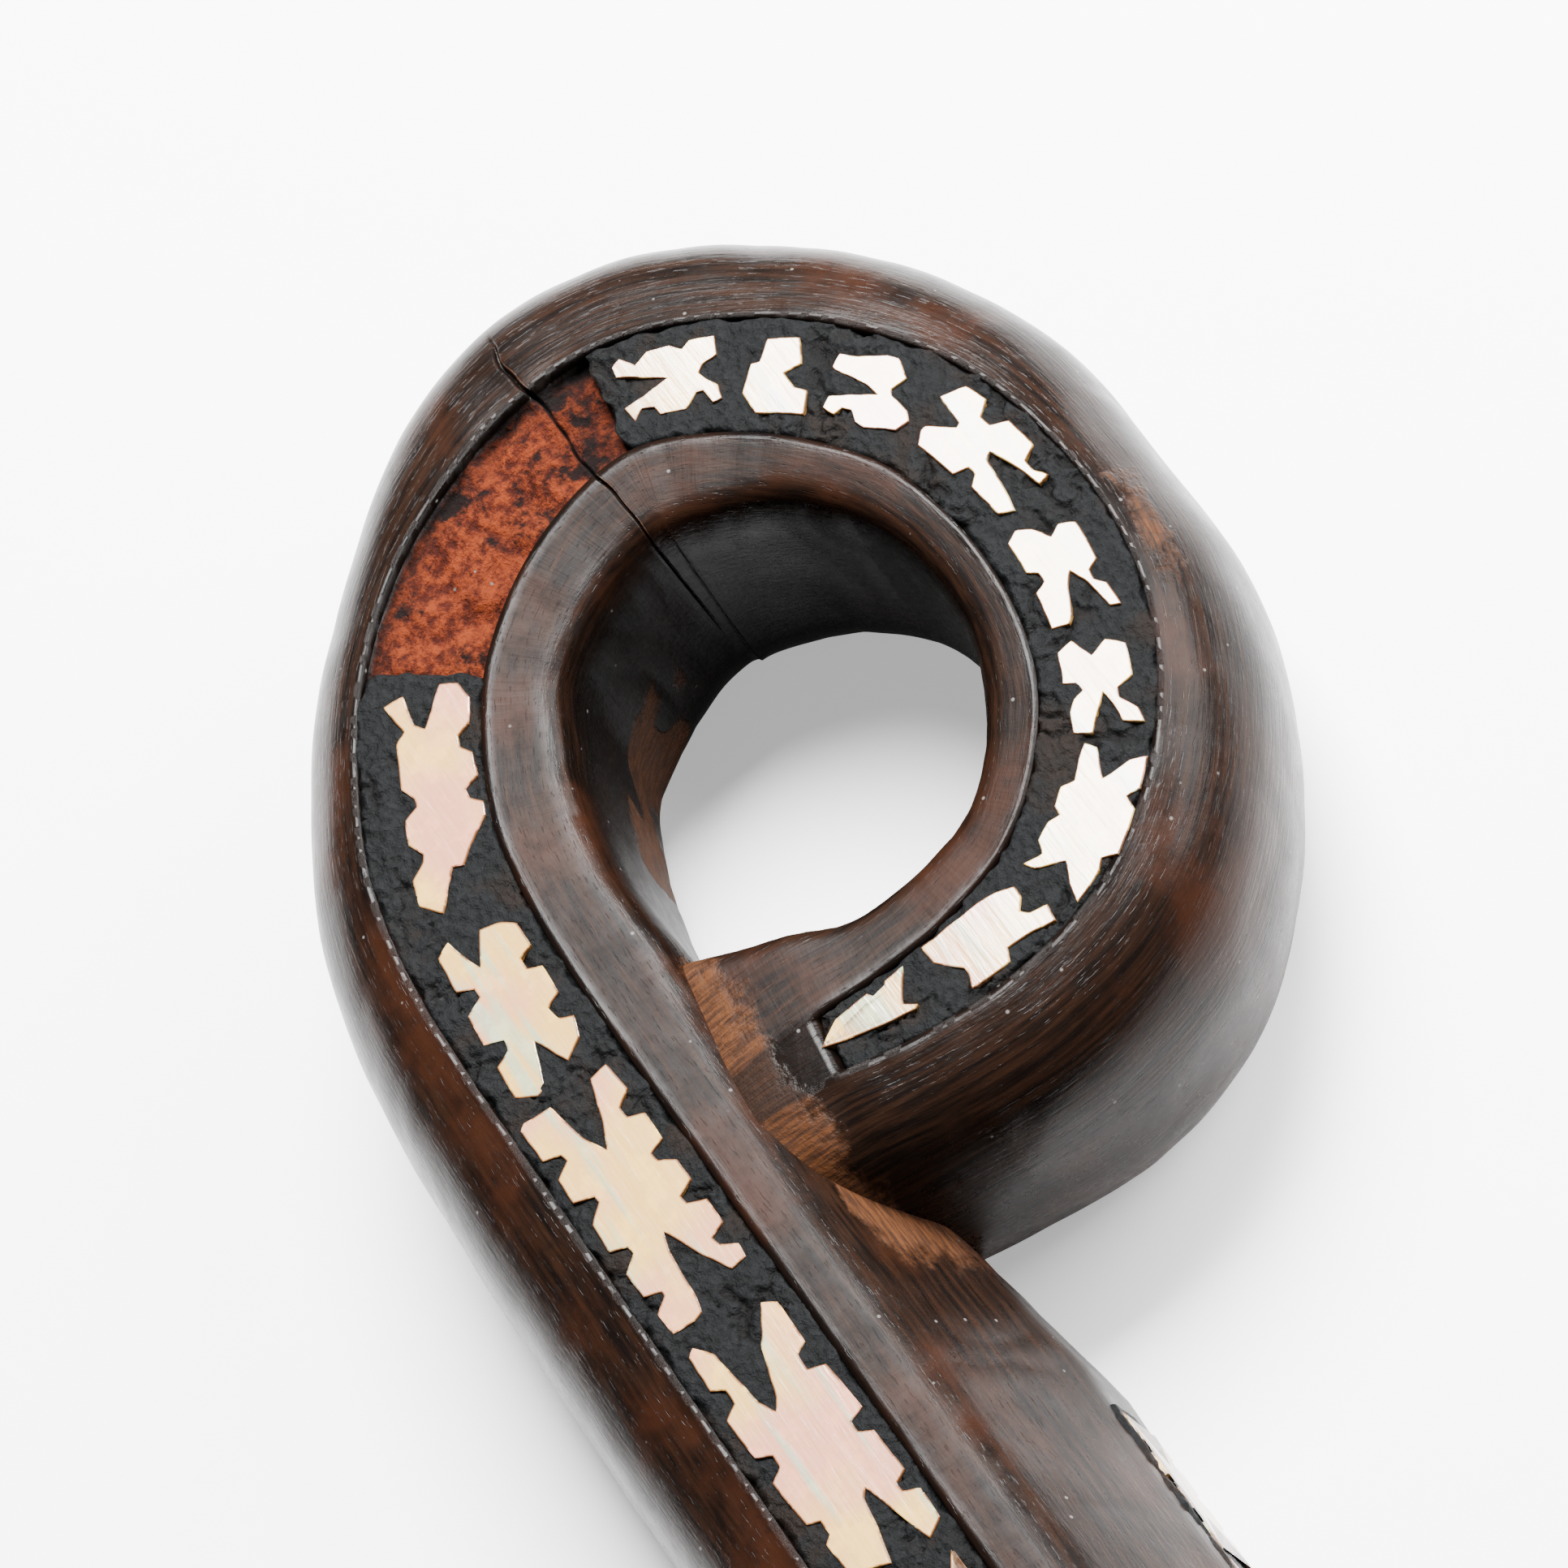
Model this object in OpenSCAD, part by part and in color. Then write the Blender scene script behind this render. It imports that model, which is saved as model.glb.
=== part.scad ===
// Oval wooden bowl carved in one piece with a thick handle that ends in a curl.
// Notched plates of pearl shell lie in beds of black putty along the handle's top
// face, on one side of its stem and around the bowl's rim.
// Frame: +Z up, origin at the middle of the bowl's foot, handle towards -X.

/* [Bowl] */
// Length of the bowl across its rim, along the handle
bowl_length = 200; // [160:5:250]
// Width of the bowl across its rim
bowl_width = 130; // [105:5:160]
// Height of the rim above the table
bowl_height = 42; // [35:1:52]
// Width of the flat rim
rim_width = 10; // [8:0.5:13]
// Thickness of the floor above the foot
floor_thick = 8; // [6:0.5:12]
// Length of the flat foot
foot_length = 100; // [80:2:120]
// Width of the flat foot
foot_width = 60; // [50:2:72]

/* [Handle] */
// Height of the handle's top face above the table
handle_height = 31; // [25:1:38]
// Distance from the bowl's near end to the middle of the curl's eye
stem_run = 108; // [90:2:132]
// Length of the curl along the handle
curl_length = 92; // [76:2:112]
// Width of the curl across the handle
curl_width = 84; // [70:2:102]
// Width of the curling limb at its far end
limb_width = 30; // [25:1:36]

/* [Inlay] */
// Width of the putty bed along the handle
band_width = 11; // [9:0.5:13.5]
// Depth of every putty bed
bed_depth = 1.8; // [1.4:0.1:2.4]
// Thickness of the shell plates, whose faces are level with the putty's
shell_thick = 0.9; // [0.7:0.1:1.2]
// Bare putty between a plate and the side of its bed
shell_margin = 0.8; // [0.6:0.1:1.1]
// Width of the bed on the side of the stem
flank_bed = 8.5; // [7:0.5:10.5]
// Width of the bed in the rim
rim_bed = 6.6; // [5.4:0.2:7.4]
// Bare putty between one plate and the next
shell_gap = 1.6; // [1.2:0.1:2.2]

/* [Hidden] */
$fn = 96;
// Thickness of the oval plates that the bowl is swept through
PLATE = 0.4;
// How far a cut runs past the face that it opens
OVER = 1;
RIM_PLATES = 22;
FLANK_PLATES = 2;
STEM_PLATES = 2;
// Width and depth of the small notches in a plate's edge, and depth of its forked end
NOTCH = 1.1;
FORK = 6.5;
// Distances from the bowl's near end to the beds on the stem's top and side
BED_BACK = 22;
FLANK_BACK = 24;
// Distance from the curl's first station to the bed on the stem's side
FLANK_AHEAD = 3;
// Share of the handle's height taken by the rounded foot of its inner side
SIDE_FOOT = 0.22;
// Wood left under and over the bed on the stem's side
FLANK_UNDER = 0.6;
FLANK_ABOVE = 0.2;
// Depth of the root's top below the rim
ROOT_SINK = 1.5;
// Width of the sloping facet inside the ridge where the stem is widest
FACET = 10.5;
// Stretches that the curl is swept in, and those in its first half
CURL_RINGS = 60;
FIRST_RINGS = 30;
// Share of the hollow's size that its flat floor takes, along and across
FLOOR_LONG = 0.52;
FLOOR_WIDE = 0.46;
HOLLOW_STEPS = 8;

WOOD = [0.17, 0.1, 0.07];
PUTTY = [0.12, 0.12, 0.13];
SHELL = [0.86, 0.85, 0.8];

// The curl's stations are about a point in its eye, at its first sizes, and the
// stem's middle line then lies along the bowl's.
along = curl_length / 92;
across = curl_width / 84;
eye_x = -bowl_length / 2 - stem_run;
eye_y = 25 * across;
thick = limb_width / 30;
// A shorter or narrower curl draws the limb's inner side in, so that its eye stays open
snug = min(1, along, across);
band = band_width / 11;

// Stations along the middle of the inlaid band, from the stem round to the tail.
// Each is [x, y, reach outwards, reach inwards, inner ridge, bed's half width, drop].
CURL = [
    [50, -28, 15, 21, 10.5, 5.5, 0],
    [30, -28, 15, 18, 10.5, 5.5, 0],
    [15, -28, 15, 15.5, 11.5, 5.5, 0],
    [3, -28, 14.5, 14, 12.5, 5.5, 0],
    [-6, -27.5, 14, 13.5, 12, 5.5, 0],
    [-14, -26, 13.5, 13.5, 12, 5.4, 0],
    [-21, -23, 13, 13, 11.5, 5.3, 0],
    [-28, -18.5, 13, 12.5, 11, 5.2, 0],
    [-33.5, -12.5, 13.5, 13, 11.5, 5.2, 0],
    [-37, -6, 15.5, 13, 11.5, 5.1, 0],
    [-39, 1.5, 17.5, 13, 11.5, 5.1, 0],
    [-38.5, 8.5, 17.5, 13.5, 12, 5.1, 0],
    [-34.5, 15.5, 16.5, 12.5, 11, 5.1, 0],
    [-28.5, 21.5, 15.5, 11, 9.5, 5.1, 0],
    [-20, 26.5, 14, 10, 9, 5, 0],
    [-10, 28.5, 12, 9.5, 8.5, 5, 0],
    [0, 28, 12.5, 10, 8.5, 5, 0],
    [8.5, 25, 12.5, 10.5, 9, 4.8, 0],
    [15.5, 19.5, 13, 10, 9, 4.6, 0],
    [20, 13, 14, 10, 9, 4.2, 0],
    [22, 5, 14, 10, 9, 3.7, 0],
    [22, -3, 13, 10, 9, 3.1, 0],
    [21, -10, 12.5, 12.2, 10.5, 2.5, 0],
    [20, -18, 11, 13.5, 11, 2, 5]
];
// Stations from the plain stem into the bowl: [run past the bowl's end, share of the
// rise to the rim, extra reach on either side, share of the height the underside lifts].
ROOT = [
    [-22, 0, 0, 0],
    [-14, 0.08, 0.4, 0.05],
    [-8, 0.25, 1, 0.14],
    [-3, 0.46, 2, 0.25],
    [2, 0.68, 3.5, 0.36],
    [8, 0.88, 6, 0.46],
    [15, 0.97, 9, 0.52],
    [24, 1, 12, 0.55]
];

// Plates on the curl, as [start, end] in hundredths of the way round it.
CURL_PLATES = [
    [7.7, 18.3], [19, 26.2], [27.4, 36.7], [51.2, 55.4], [56.2, 59.1], [59.8, 63.4], [64.1, 69.8],
    [70.5, 75.4], [76, 80], [80.6, 86.3], [86.9, 91.3], [92, 95.2]
];
// Where the putty has fallen out of the bed, and where the bed ends.
BARE = [37.5, 50.7];
BED_END = 95.8;

// A smooth value between four stations.
function blend(a, b, c, d, t) =
    0.5 * (2 * b + (c - a) * t + (2 * a - 5 * b + 4 * c - d) * t * t + (3 * b - a - 3 * c + d) * t * t * t);
function sized(s) = [
    s[0] * along, s[1] * across, s[2] * thick, s[3] * thick * snug, s[4] * thick * snug,
    s[5] * band, s[6]
];
last = len(CURL) - 1;
STEPS = 8;
SIZED = [for (s = CURL) sized(s)];
SAMPLES = [
    for (i = [0:last - 1], k = [0:STEPS - 1])
        blend(SIZED[max(i - 1, 0)], SIZED[i], SIZED[i + 1], SIZED[min(i + 2, last)], k / STEPS),
    SIZED[last]
];
function length_to(i) = i == 0 ? 0 :
    length_to(i - 1) + norm([SAMPLES[i][0] - SAMPLES[i - 1][0], SAMPLES[i][1] - SAMPLES[i - 1][1]]);
LENGTHS = [for (i = [0:len(SAMPLES) - 1]) length_to(i)];
curl_run = LENGTHS[len(LENGTHS) - 1];
function column(c) = [for (i = [0:len(SAMPLES) - 1]) [LENGTHS[i], SAMPLES[i][c]]];
COLUMNS = [for (c = [0:6]) column(c)];

// Station at a distance along the band. A distance below zero is on the stem.
function at(s) = s < 0 ?
    [SIZED[0][0] - s, SIZED[0][1], SIZED[0][2], SIZED[0][3], SIZED[0][4], SIZED[0][5], 0] :
    [for (c = [0:6]) lookup(s, COLUMNS[c])];
function heading(s) =
    let (a = at(s - 0.5), b = at(min(s + 0.5, curl_run)))
    atan2(b[1] - a[1], b[0] - a[0]);
// A point beside the middle of the band, with u positive towards the outside.
function beside(s, u) =
    let (p = at(s), h = heading(s))
    [eye_x + p[0] - u * sin(h), eye_y + p[1] + u * cos(h)];
function hundredths(p) = p * curl_run / 100;
bed_start = -(stem_run - BED_BACK - SIZED[0][0]);

// Outlines of the beds and plates on the handle
function bed_outline(s0, s1, extra = 0) =
    let (n = ceil((s1 - s0) / 3))
    concat(
        [for (i = [0:n]) let (s = s0 + (s1 - s0) * i / n) beside(s, at(s)[5] + extra)],
        [for (i = [n:-1:0]) let (s = s0 + (s1 - s0) * i / n) beside(s, -at(s)[5] - extra)]
    );

// A plate's edge as [share of its length, share of its half width]: a straight run
// broken by small triangular notches.
function notched_edge(count, share, bite) = concat(
    [[0, 1]],
    [for (k = [1:count]) each [[k / (count + 1) - share, 1], [k / (count + 1), 1 - bite],
        [k / (count + 1) + share, 1]]],
    [[1, 1]]
);
function reversed(list) = [for (i = [len(list) - 1:-1:0]) list[i]];
// A whole plate in the same shares, with a forked notch in each end
function plate_outline(long, wide) =
    let (
        count = max(1, round(long / 5)),
        edge = notched_edge(count, NOTCH / 2 / long, NOTCH / wide),
        fork = min(0.3, FORK / long)
    )
    concat(
        edge, [[1 - fork, 0]],
        [for (e = reversed(edge)) [e[0], -e[1]]], [[fork, 0]]
    );
function handle_plate(s0, s1) = [
    for (e = plate_outline(s1 - s0, at(s0)[5]))
        let (s = s0 + (s1 - s0) * e[0])
        beside(s, e[1] * (at(s)[5] - shell_margin))
];
function stem_span(i) =
    let (
        end = hundredths(CURL_PLATES[0][0]) - shell_gap,
        pitch = (end - bed_start) / STEM_PLATES
    )
    [bed_start + (i - 1) * pitch + shell_gap, bed_start + i * pitch];
function curl_span(i) = [hundredths(CURL_PLATES[i - 1][0]), hundredths(CURL_PLATES[i - 1][1])];

// The rim, as ovals set in from its outer edge
function oval(angle, inset) = [
    (bowl_length / 2 - inset) * cos(angle), (bowl_width / 2 - inset) * sin(angle)
];
function oval_ring(inset) = [for (k = [0:$fn - 1]) oval(k * 360 / $fn, inset)];
rim_bed_out = (rim_width - rim_bed) / 2;
rim_bed_in = (rim_width + rim_bed) / 2;
rim_middle = rim_width / 2;
// Degrees of the oval taken up by one millimetre along it
function degrees_per_mm(angle) =
    180 / PI / norm([
        (bowl_length / 2 - rim_middle) * sin(angle), (bowl_width / 2 - rim_middle) * cos(angle)
    ]);
function rim_plate(i) =
    let (
        pitch = 360 / RIM_PLATES,
        a0 = (i - 0.5) * pitch + shell_gap / 2 * degrees_per_mm((i - 0.5) * pitch),
        a1 = (i + 0.5) * pitch - shell_gap / 2 * degrees_per_mm((i + 0.5) * pitch),
        long = (a1 - a0) / degrees_per_mm(i * pitch)
    )
    [for (e = plate_outline(long, rim_bed / 2))
        oval(a0 + (a1 - a0) * e[0], rim_middle + e[1] * (rim_bed / 2 - shell_margin))];

// Solids cut or filled at one depth under a level face
module sunk(depth, level) {
    translate([0, 0, level - depth])
        linear_extrude(depth)
            children();
}
module pocket(depth, level) {
    translate([0, 0, level - depth])
        linear_extrude(depth + OVER)
            children();
}

// The bed on the stem's side, in the upright part of the inner side
flank_y = eye_y + SIZED[0][1] + SIZED[0][3];
flank_from = eye_x + SIZED[0][0] + FLANK_AHEAD;
flank_to = eye_x + stem_run - FLANK_BACK;
flank_low = handle_height * SIDE_FOOT + FLANK_UNDER;
flank_mid = flank_low + flank_bed / 2;
// Share of the handle's height above the upright part
flank_share = 1 - (flank_low + flank_bed + FLANK_ABOVE) / handle_height;

// The handle's section at a station, as points in space about its middle line
function section(place, turn, st, level, low = 0) =
    let (
        out = st[2],
        in = st[3],
        ridge = st[4],
        half = st[5],
        top = level - st[6],
        side = min(1, (in - ridge) / FACET),
        outline = [
            [half + 0.8, top],
            [out - 4.5, top - 1.6],
            [out - 1.6, top - 5.6],
            [out, low + (top - low) * 0.6],
            [out - 0.6, low + (top - low) * 0.36],
            [out - 3, low + (top - low) * 0.12],
            [out - 6.5, low],
            [-in + 4, low],
            [-in + 1.2, low + (top - low) * 0.1],
            [-in, low + (top - low) * SIDE_FOOT],
            [-in, top - (top - low) * (0.1 + (flank_share - 0.1) * side)],
            [(-ridge - in) / 2, top - (top - low) * (0.05 + (flank_share / 2 - 0.05) * side)],
            [-ridge, top - 0.9 + 0.4 * side],
            [-half - 0.8, top]
        ]
    )
    [for (p = outline) [place[0] - p[0] * sin(turn), place[1] + p[0] * cos(turn), p[1]]];
function curl_section(s) =
    let (p = at(s))
    section([eye_x + p[0], eye_y + p[1]], heading(s), p, handle_height);
function root_section(r) =
    let (
        p = SIZED[0],
        rise = (bowl_height - handle_height - ROOT_SINK) * r[1],
        wider = [p[0], p[1], p[2] + r[2], p[3] + r[2], p[4] + r[2] / 2, p[5], 0]
    )
    section(
        [eye_x + stem_run + r[0], eye_y + p[1]], 180, wider,
        handle_height + rise, bowl_height * r[3]
    );

// A closed skin over a row of sections
module skin(rings) {
    n = len(rings[0]);
    ends = len(rings) - 1;
    polyhedron(
        points = [for (ring = rings) each ring],
        faces = concat(
            [[for (k = [n - 1:-1:0]) k]],
            [for (i = [0:ends - 1], k = [0:n - 1]) [i * n + k, i * n + (k + 1) % n, (i + 1) * n + k]],
            [for (i = [0:ends - 1], k = [0:n - 1])
                [i * n + (k + 1) % n, (i + 1) * n + (k + 1) % n, (i + 1) * n + k]],
            [[for (k = [0:n - 1]) ends * n + k]]
        )
    );
}
module handle() {
    skin(concat(
        [for (r = reversed(ROOT)) root_section(r)],
        [for (i = [0:FIRST_RINGS]) curl_section(curl_run * i / CURL_RINGS)]
    ));
    skin([for (i = [FIRST_RINGS - 1:CURL_RINGS]) curl_section(curl_run * i / CURL_RINGS)]);
}

// One level of the bowl, as a thin oval plate
module oval_plate(long, wide, level) {
    translate([0, 0, level])
        linear_extrude(PLATE)
            polygon([for (k = [0:$fn - 1]) [long / 2 * cos(k * 360 / $fn), wide / 2 * sin(k * 360 / $fn)]]);
}
// Share of the way from the foot's size to the rim's, at a share of the height
module swell(share, level) {
    oval_plate(foot_length + (bowl_length - foot_length) * share,
        foot_width + (bowl_width - foot_width) * share, level);
}
// Levels of the bowl's outside as [share of its height, share of its swell]
LEVELS = [
    [0, 0], [0.05, 0.18], [0.12, 0.34], [0.22, 0.5], [0.34, 0.66], [0.48, 0.79], [0.64, 0.9],
    [0.8, 0.97], [1, 1]
];
module bowl_outside() {
    body = bowl_height - PLATE;
    for (i = [0:len(LEVELS) - 2])
        hull() {
            swell(LEVELS[i][1], body * LEVELS[i][0]);
            swell(LEVELS[i + 1][1], body * LEVELS[i + 1][0]);
        }
}
module hollow_level(turn) {
    deep = bowl_height - floor_thick;
    long = (bowl_length - 2 * rim_width) * (FLOOR_LONG + (1 - FLOOR_LONG) * sin(turn));
    wide = (bowl_width - 2 * rim_width) * (FLOOR_WIDE + (1 - FLOOR_WIDE) * sin(turn));
    oval_plate(long, wide, floor_thick + deep * (1 - cos(turn)));
}
module bowl_hollow() {
    for (k = [0:HOLLOW_STEPS - 1])
        hull() {
            hollow_level(k * 90 / HOLLOW_STEPS);
            hollow_level((k + 1) * 90 / HOLLOW_STEPS);
        }
}

// The whole bed along the handle, and the plates that lie in it
module handle_bed() {
    polygon(bed_outline(bed_start, hundredths(BED_END)));
}
module handle_plates(spans) {
    for (span = spans)
        polygon(handle_plate(span[0], span[1]));
}
STEM_SPANS = [for (i = [1:STEM_PLATES]) stem_span(i)];
CURL_SPANS = [for (i = [1:len(CURL_PLATES)]) curl_span(i)];

module rim_bed_shape() {
    difference() {
        polygon(oval_ring(rim_bed_out));
        polygon(oval_ring(rim_bed_in));
    }
}

// Shapes on the stem's side are drawn as [distance along the stem, height]
module on_flank(depth, extra = 0) {
    translate([0, flank_y + extra, 0])
        rotate([90, 0, 0])
            linear_extrude(depth + extra)
                children();
}
module flank_bed_shape() {
    translate([flank_from, flank_low])
        square([flank_to - flank_from, flank_bed]);
}
function flank_plate(i) =
    let (
        pitch = (flank_to - flank_from - shell_margin) / FLANK_PLATES,
        long = pitch - shell_margin
    )
    [for (e = plate_outline(long, flank_bed / 2))
        [
            flank_from + shell_margin + (i - 1) * pitch + long * e[0],
            flank_mid + e[1] * (flank_bed / 2 - shell_margin)
        ]];

module carved_body() {
    color(WOOD)
        difference() {
            union() {
                bowl_outside();
                handle();
            }
            bowl_hollow();
            pocket(bed_depth, handle_height)
                handle_bed();
            pocket(bed_depth, bowl_height)
                rim_bed_shape();
            on_flank(bed_depth, OVER)
                flank_bed_shape();
        }
}
module putty_stem() {
    color(PUTTY)
        difference() {
            sunk(bed_depth, handle_height)
                polygon(bed_outline(bed_start, hundredths(BARE[0])));
            pocket(shell_thick, handle_height)
                handle_plates(concat(STEM_SPANS, [for (i = [0:2]) CURL_SPANS[i]]));
        }
}
module putty_curl() {
    color(PUTTY)
        difference() {
            sunk(bed_depth, handle_height)
                polygon(bed_outline(hundredths(BARE[1]), hundredths(BED_END)));
            pocket(shell_thick, handle_height)
                handle_plates([for (i = [3:len(CURL_SPANS) - 1]) CURL_SPANS[i]]);
        }
}
module putty_flank() {
    color(PUTTY)
        difference() {
            on_flank(bed_depth)
                flank_bed_shape();
            on_flank(shell_thick, OVER)
                for (i = [1:FLANK_PLATES])
                    polygon(flank_plate(i));
        }
}
module putty_rim() {
    color(PUTTY)
        difference() {
            sunk(bed_depth, bowl_height)
                rim_bed_shape();
            pocket(shell_thick, bowl_height)
                for (i = [1:RIM_PLATES])
                    polygon(rim_plate(i));
        }
}
module handle_shell(span) {
    color(SHELL)
        sunk(shell_thick, handle_height)
            polygon(handle_plate(span[0], span[1]));
}
module flank_shell(i) {
    color(SHELL)
        on_flank(shell_thick)
            polygon(flank_plate(i));
}
module rim_shell(i) {
    color(SHELL)
        sunk(shell_thick, bowl_height)
            polygon(rim_plate(i));
}

carved_body();
putty_stem();
putty_curl();
putty_flank();
putty_rim();
for (i = [1:STEM_PLATES])
    handle_shell(STEM_SPANS[i - 1]);
for (i = [1:len(CURL_PLATES)])
    handle_shell(CURL_SPANS[i - 1]);
for (i = [1:FLANK_PLATES])
    flank_shell(i);
for (i = [1:RIM_PLATES])
    rim_shell(i);
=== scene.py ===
"""Looks for a carved wooden bowl with a curled, shell-inlaid handle."""

import math

import bmesh
import bpy
import numpy as np
from mathutils import Matrix, Vector, noise


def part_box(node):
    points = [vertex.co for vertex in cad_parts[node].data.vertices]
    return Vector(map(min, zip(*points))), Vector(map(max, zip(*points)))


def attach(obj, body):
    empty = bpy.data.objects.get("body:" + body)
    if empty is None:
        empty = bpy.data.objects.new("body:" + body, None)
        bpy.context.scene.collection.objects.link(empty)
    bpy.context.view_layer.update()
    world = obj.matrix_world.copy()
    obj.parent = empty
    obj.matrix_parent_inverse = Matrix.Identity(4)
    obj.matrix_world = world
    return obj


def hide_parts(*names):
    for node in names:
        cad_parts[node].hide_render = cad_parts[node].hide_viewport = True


bl_info = {
    "name": "Shell Inlaid Bowl",
    "version": (1, 0, 0),
    "blender": (4, 5, 0),
    "location": "View3D > Sidebar > Bowl",
    "description": "Builds the carved bowl, its curled handle and the shell inlay",
    "category": "Add Mesh",
}

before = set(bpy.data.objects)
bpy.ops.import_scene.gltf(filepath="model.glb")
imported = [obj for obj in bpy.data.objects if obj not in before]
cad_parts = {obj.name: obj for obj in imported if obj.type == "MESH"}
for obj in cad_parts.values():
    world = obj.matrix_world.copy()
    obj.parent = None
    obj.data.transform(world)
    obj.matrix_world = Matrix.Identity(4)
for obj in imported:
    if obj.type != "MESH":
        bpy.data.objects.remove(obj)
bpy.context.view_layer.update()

MM = 0.001
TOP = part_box("putty_curl")[1].z / MM
RIM_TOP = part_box("putty_rim")[1].z / MM
BOWL_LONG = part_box("carved_body")[1].x / MM * 2
BOWL_WIDE = -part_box("carved_body")[0].y / MM * 2
BED_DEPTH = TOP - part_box("putty_curl")[0].z / MM
RIM_BED_OUT = BOWL_LONG / 2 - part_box("putty_rim")[1].x / MM
FLANK_LOW, FLANK_HIGH = (corner.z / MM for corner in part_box("putty_flank"))
FLANK_FROM, FLANK_TO = (corner.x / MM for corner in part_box("putty_flank"))
FLANK_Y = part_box("putty_flank")[1].y / MM

# The band's middle line round the curl: [x, y, reach outwards, reach inwards, inner
# ridge, bed's half width, drop], in millimetres about a point in the curl's eye.
STATIONS = (
    (50, -28, 15, 21, 10.5, 5.5, 0),
    (30, -28, 15, 18, 10.5, 5.5, 0),
    (15, -28, 15, 15.5, 11.5, 5.5, 0),
    (3, -28, 14.5, 14, 12.5, 5.5, 0),
    (-6, -27.5, 14, 13.5, 12, 5.5, 0),
    (-14, -26, 13.5, 13.5, 12, 5.4, 0),
    (-21, -23, 13, 13, 11.5, 5.3, 0),
    (-28, -18.5, 13, 12.5, 11, 5.2, 0),
    (-33.5, -12.5, 13.5, 13, 11.5, 5.2, 0),
    (-37, -6, 15.5, 13, 11.5, 5.1, 0),
    (-39, 1.5, 17.5, 13, 11.5, 5.1, 0),
    (-38.5, 8.5, 17.5, 13.5, 12, 5.1, 0),
    (-34.5, 15.5, 16.5, 12.5, 11, 5.1, 0),
    (-28.5, 21.5, 15.5, 11, 9.5, 5.1, 0),
    (-20, 26.5, 14, 10, 9, 5, 0),
    (-10, 28.5, 12, 9.5, 8.5, 5, 0),
    (0, 28, 12.5, 10, 8.5, 5, 0),
    (8.5, 25, 12.5, 10.5, 9, 4.8, 0),
    (15.5, 19.5, 13, 10, 9, 4.6, 0),
    (20, 13, 14, 10, 9, 4.2, 0),
    (22, 5, 14, 10, 9, 3.7, 0),
    (22, -3, 13, 10, 9, 3.1, 0),
    (21, -10, 12.5, 12.5, 11, 2.5, 0),
    (20, -18, 11, 16, 14, 2, 1.5),
    (19, -25, 8, 18, 16, 2, 6),
)
STEM_START = STATIONS[0][0]
STEM_RUN = 108  # from the bowl's near end to the curl's eye
STEM_LINE = 3  # the stem's bed lies this far to the side of the bowl's middle
EYE = (-BOWL_LONG / 2 - STEM_RUN, -STATIONS[0][1] - STEM_LINE)
# [run past the bowl's end, share of the rise, extra reach, share of the lift]
ROOT = (
    (-22, 0, 0, 0),
    (-14, 0.08, 0.4, 0.05),
    (-8, 0.25, 1, 0.14),
    (-3, 0.46, 2, 0.25),
    (2, 0.68, 3.5, 0.36),
    (8, 0.88, 6, 0.46),
    (15, 0.97, 9, 0.52),
)
BARE = (80.5, 108.8)  # where the putty has fallen out, along the band
CRACK = 104.3
BED_START, BED_END = -36, 205.6

# The bowl, in millimetres, and its flat floor as a share of the hollow
FOOT_LONG, FOOT_WIDE = 100, 60
FLOOR = 8
RIM_WIDTH = 10
RIM_MIDDLE = RIM_WIDTH / 2
FLOOR_LONG, FLOOR_WIDE = 0.52, 0.46
# Rings of points up the foot and up the outside, below the rim
FOOT_LEVELS, SIDE_LEVELS = 7, 64
RIM_LEVEL = FOOT_LEVELS + SIDE_LEVELS

# Bare putty beside a plate and between plates, and the cuts in a plate's edge
PLATE_MARGIN, PLATE_GAP = 0.8, 1.6
NOTCH, FORK = 1.1, 6.5
RIM_PLATE_STAND = 0.25  # the most that a plate stands above the rim


def blend_row(a, b, c, d, t):
    """A smooth row of values between four stations."""
    square, cube = 2 * a - 5 * b + 4 * c - d, 3 * b - a - 3 * c + d
    return 0.5 * (2 * b + (c - a) * t + square * t**2 + cube * t**3)


def sample_band(steps=24):
    """The band's stations, filled in, with the run to each along the band."""
    rows = np.array(STATIONS, float)
    last = len(rows) - 1
    filled = [
        blend_row(rows[max(i - 1, 0)], rows[i], rows[i + 1], rows[min(i + 2, last)], k / steps)
        for i in range(last)
        for k in range(steps)
    ]
    filled = np.array([*filled, rows[last]])
    step = np.linalg.norm(np.diff(filled[:, :2], axis=0), axis=1)
    return np.concatenate([[0], np.cumsum(step)]), filled


def length_property(name, description, default, least=0.0):
    """A length, with its default and least value in millimetres."""
    return bpy.props.FloatProperty(
        name=name, description=description, default=default * MM, min=least * MM, unit="LENGTH")


RUN, FILLED = sample_band()
BAND_END = RUN[-1]


def station(s):
    """The seven station values at each run s. A run below zero is on the stem."""
    s = np.asarray(s, float)
    values = np.stack([np.interp(s, RUN, FILLED[:, c]) for c in range(7)], -1)
    values[..., 0] = np.where(s < 0, FILLED[0, 0] - s, values[..., 0])
    return values


def heading(s):
    """The band's direction at s, in radians."""
    s = np.asarray(s, float)
    ahead = station(np.minimum(s + 0.5, BAND_END))
    behind = station(s - 0.5)
    return np.arctan2(ahead[..., 1] - behind[..., 1], ahead[..., 0] - behind[..., 0])


def beside(s, u):
    """Points beside the band's middle line, with u positive towards the outside."""
    values, turn = station(s), heading(s)
    x = EYE[0] + values[..., 0] - u * np.sin(turn)
    y = EYE[1] + values[..., 1] + u * np.cos(turn)
    return x, y


def oval(angle, inset):
    """Points on the rim's oval, set in from its outer edge."""
    return (BOWL_LONG / 2 - inset) * np.cos(angle), (BOWL_WIDE / 2 - inset) * np.sin(angle)


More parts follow.
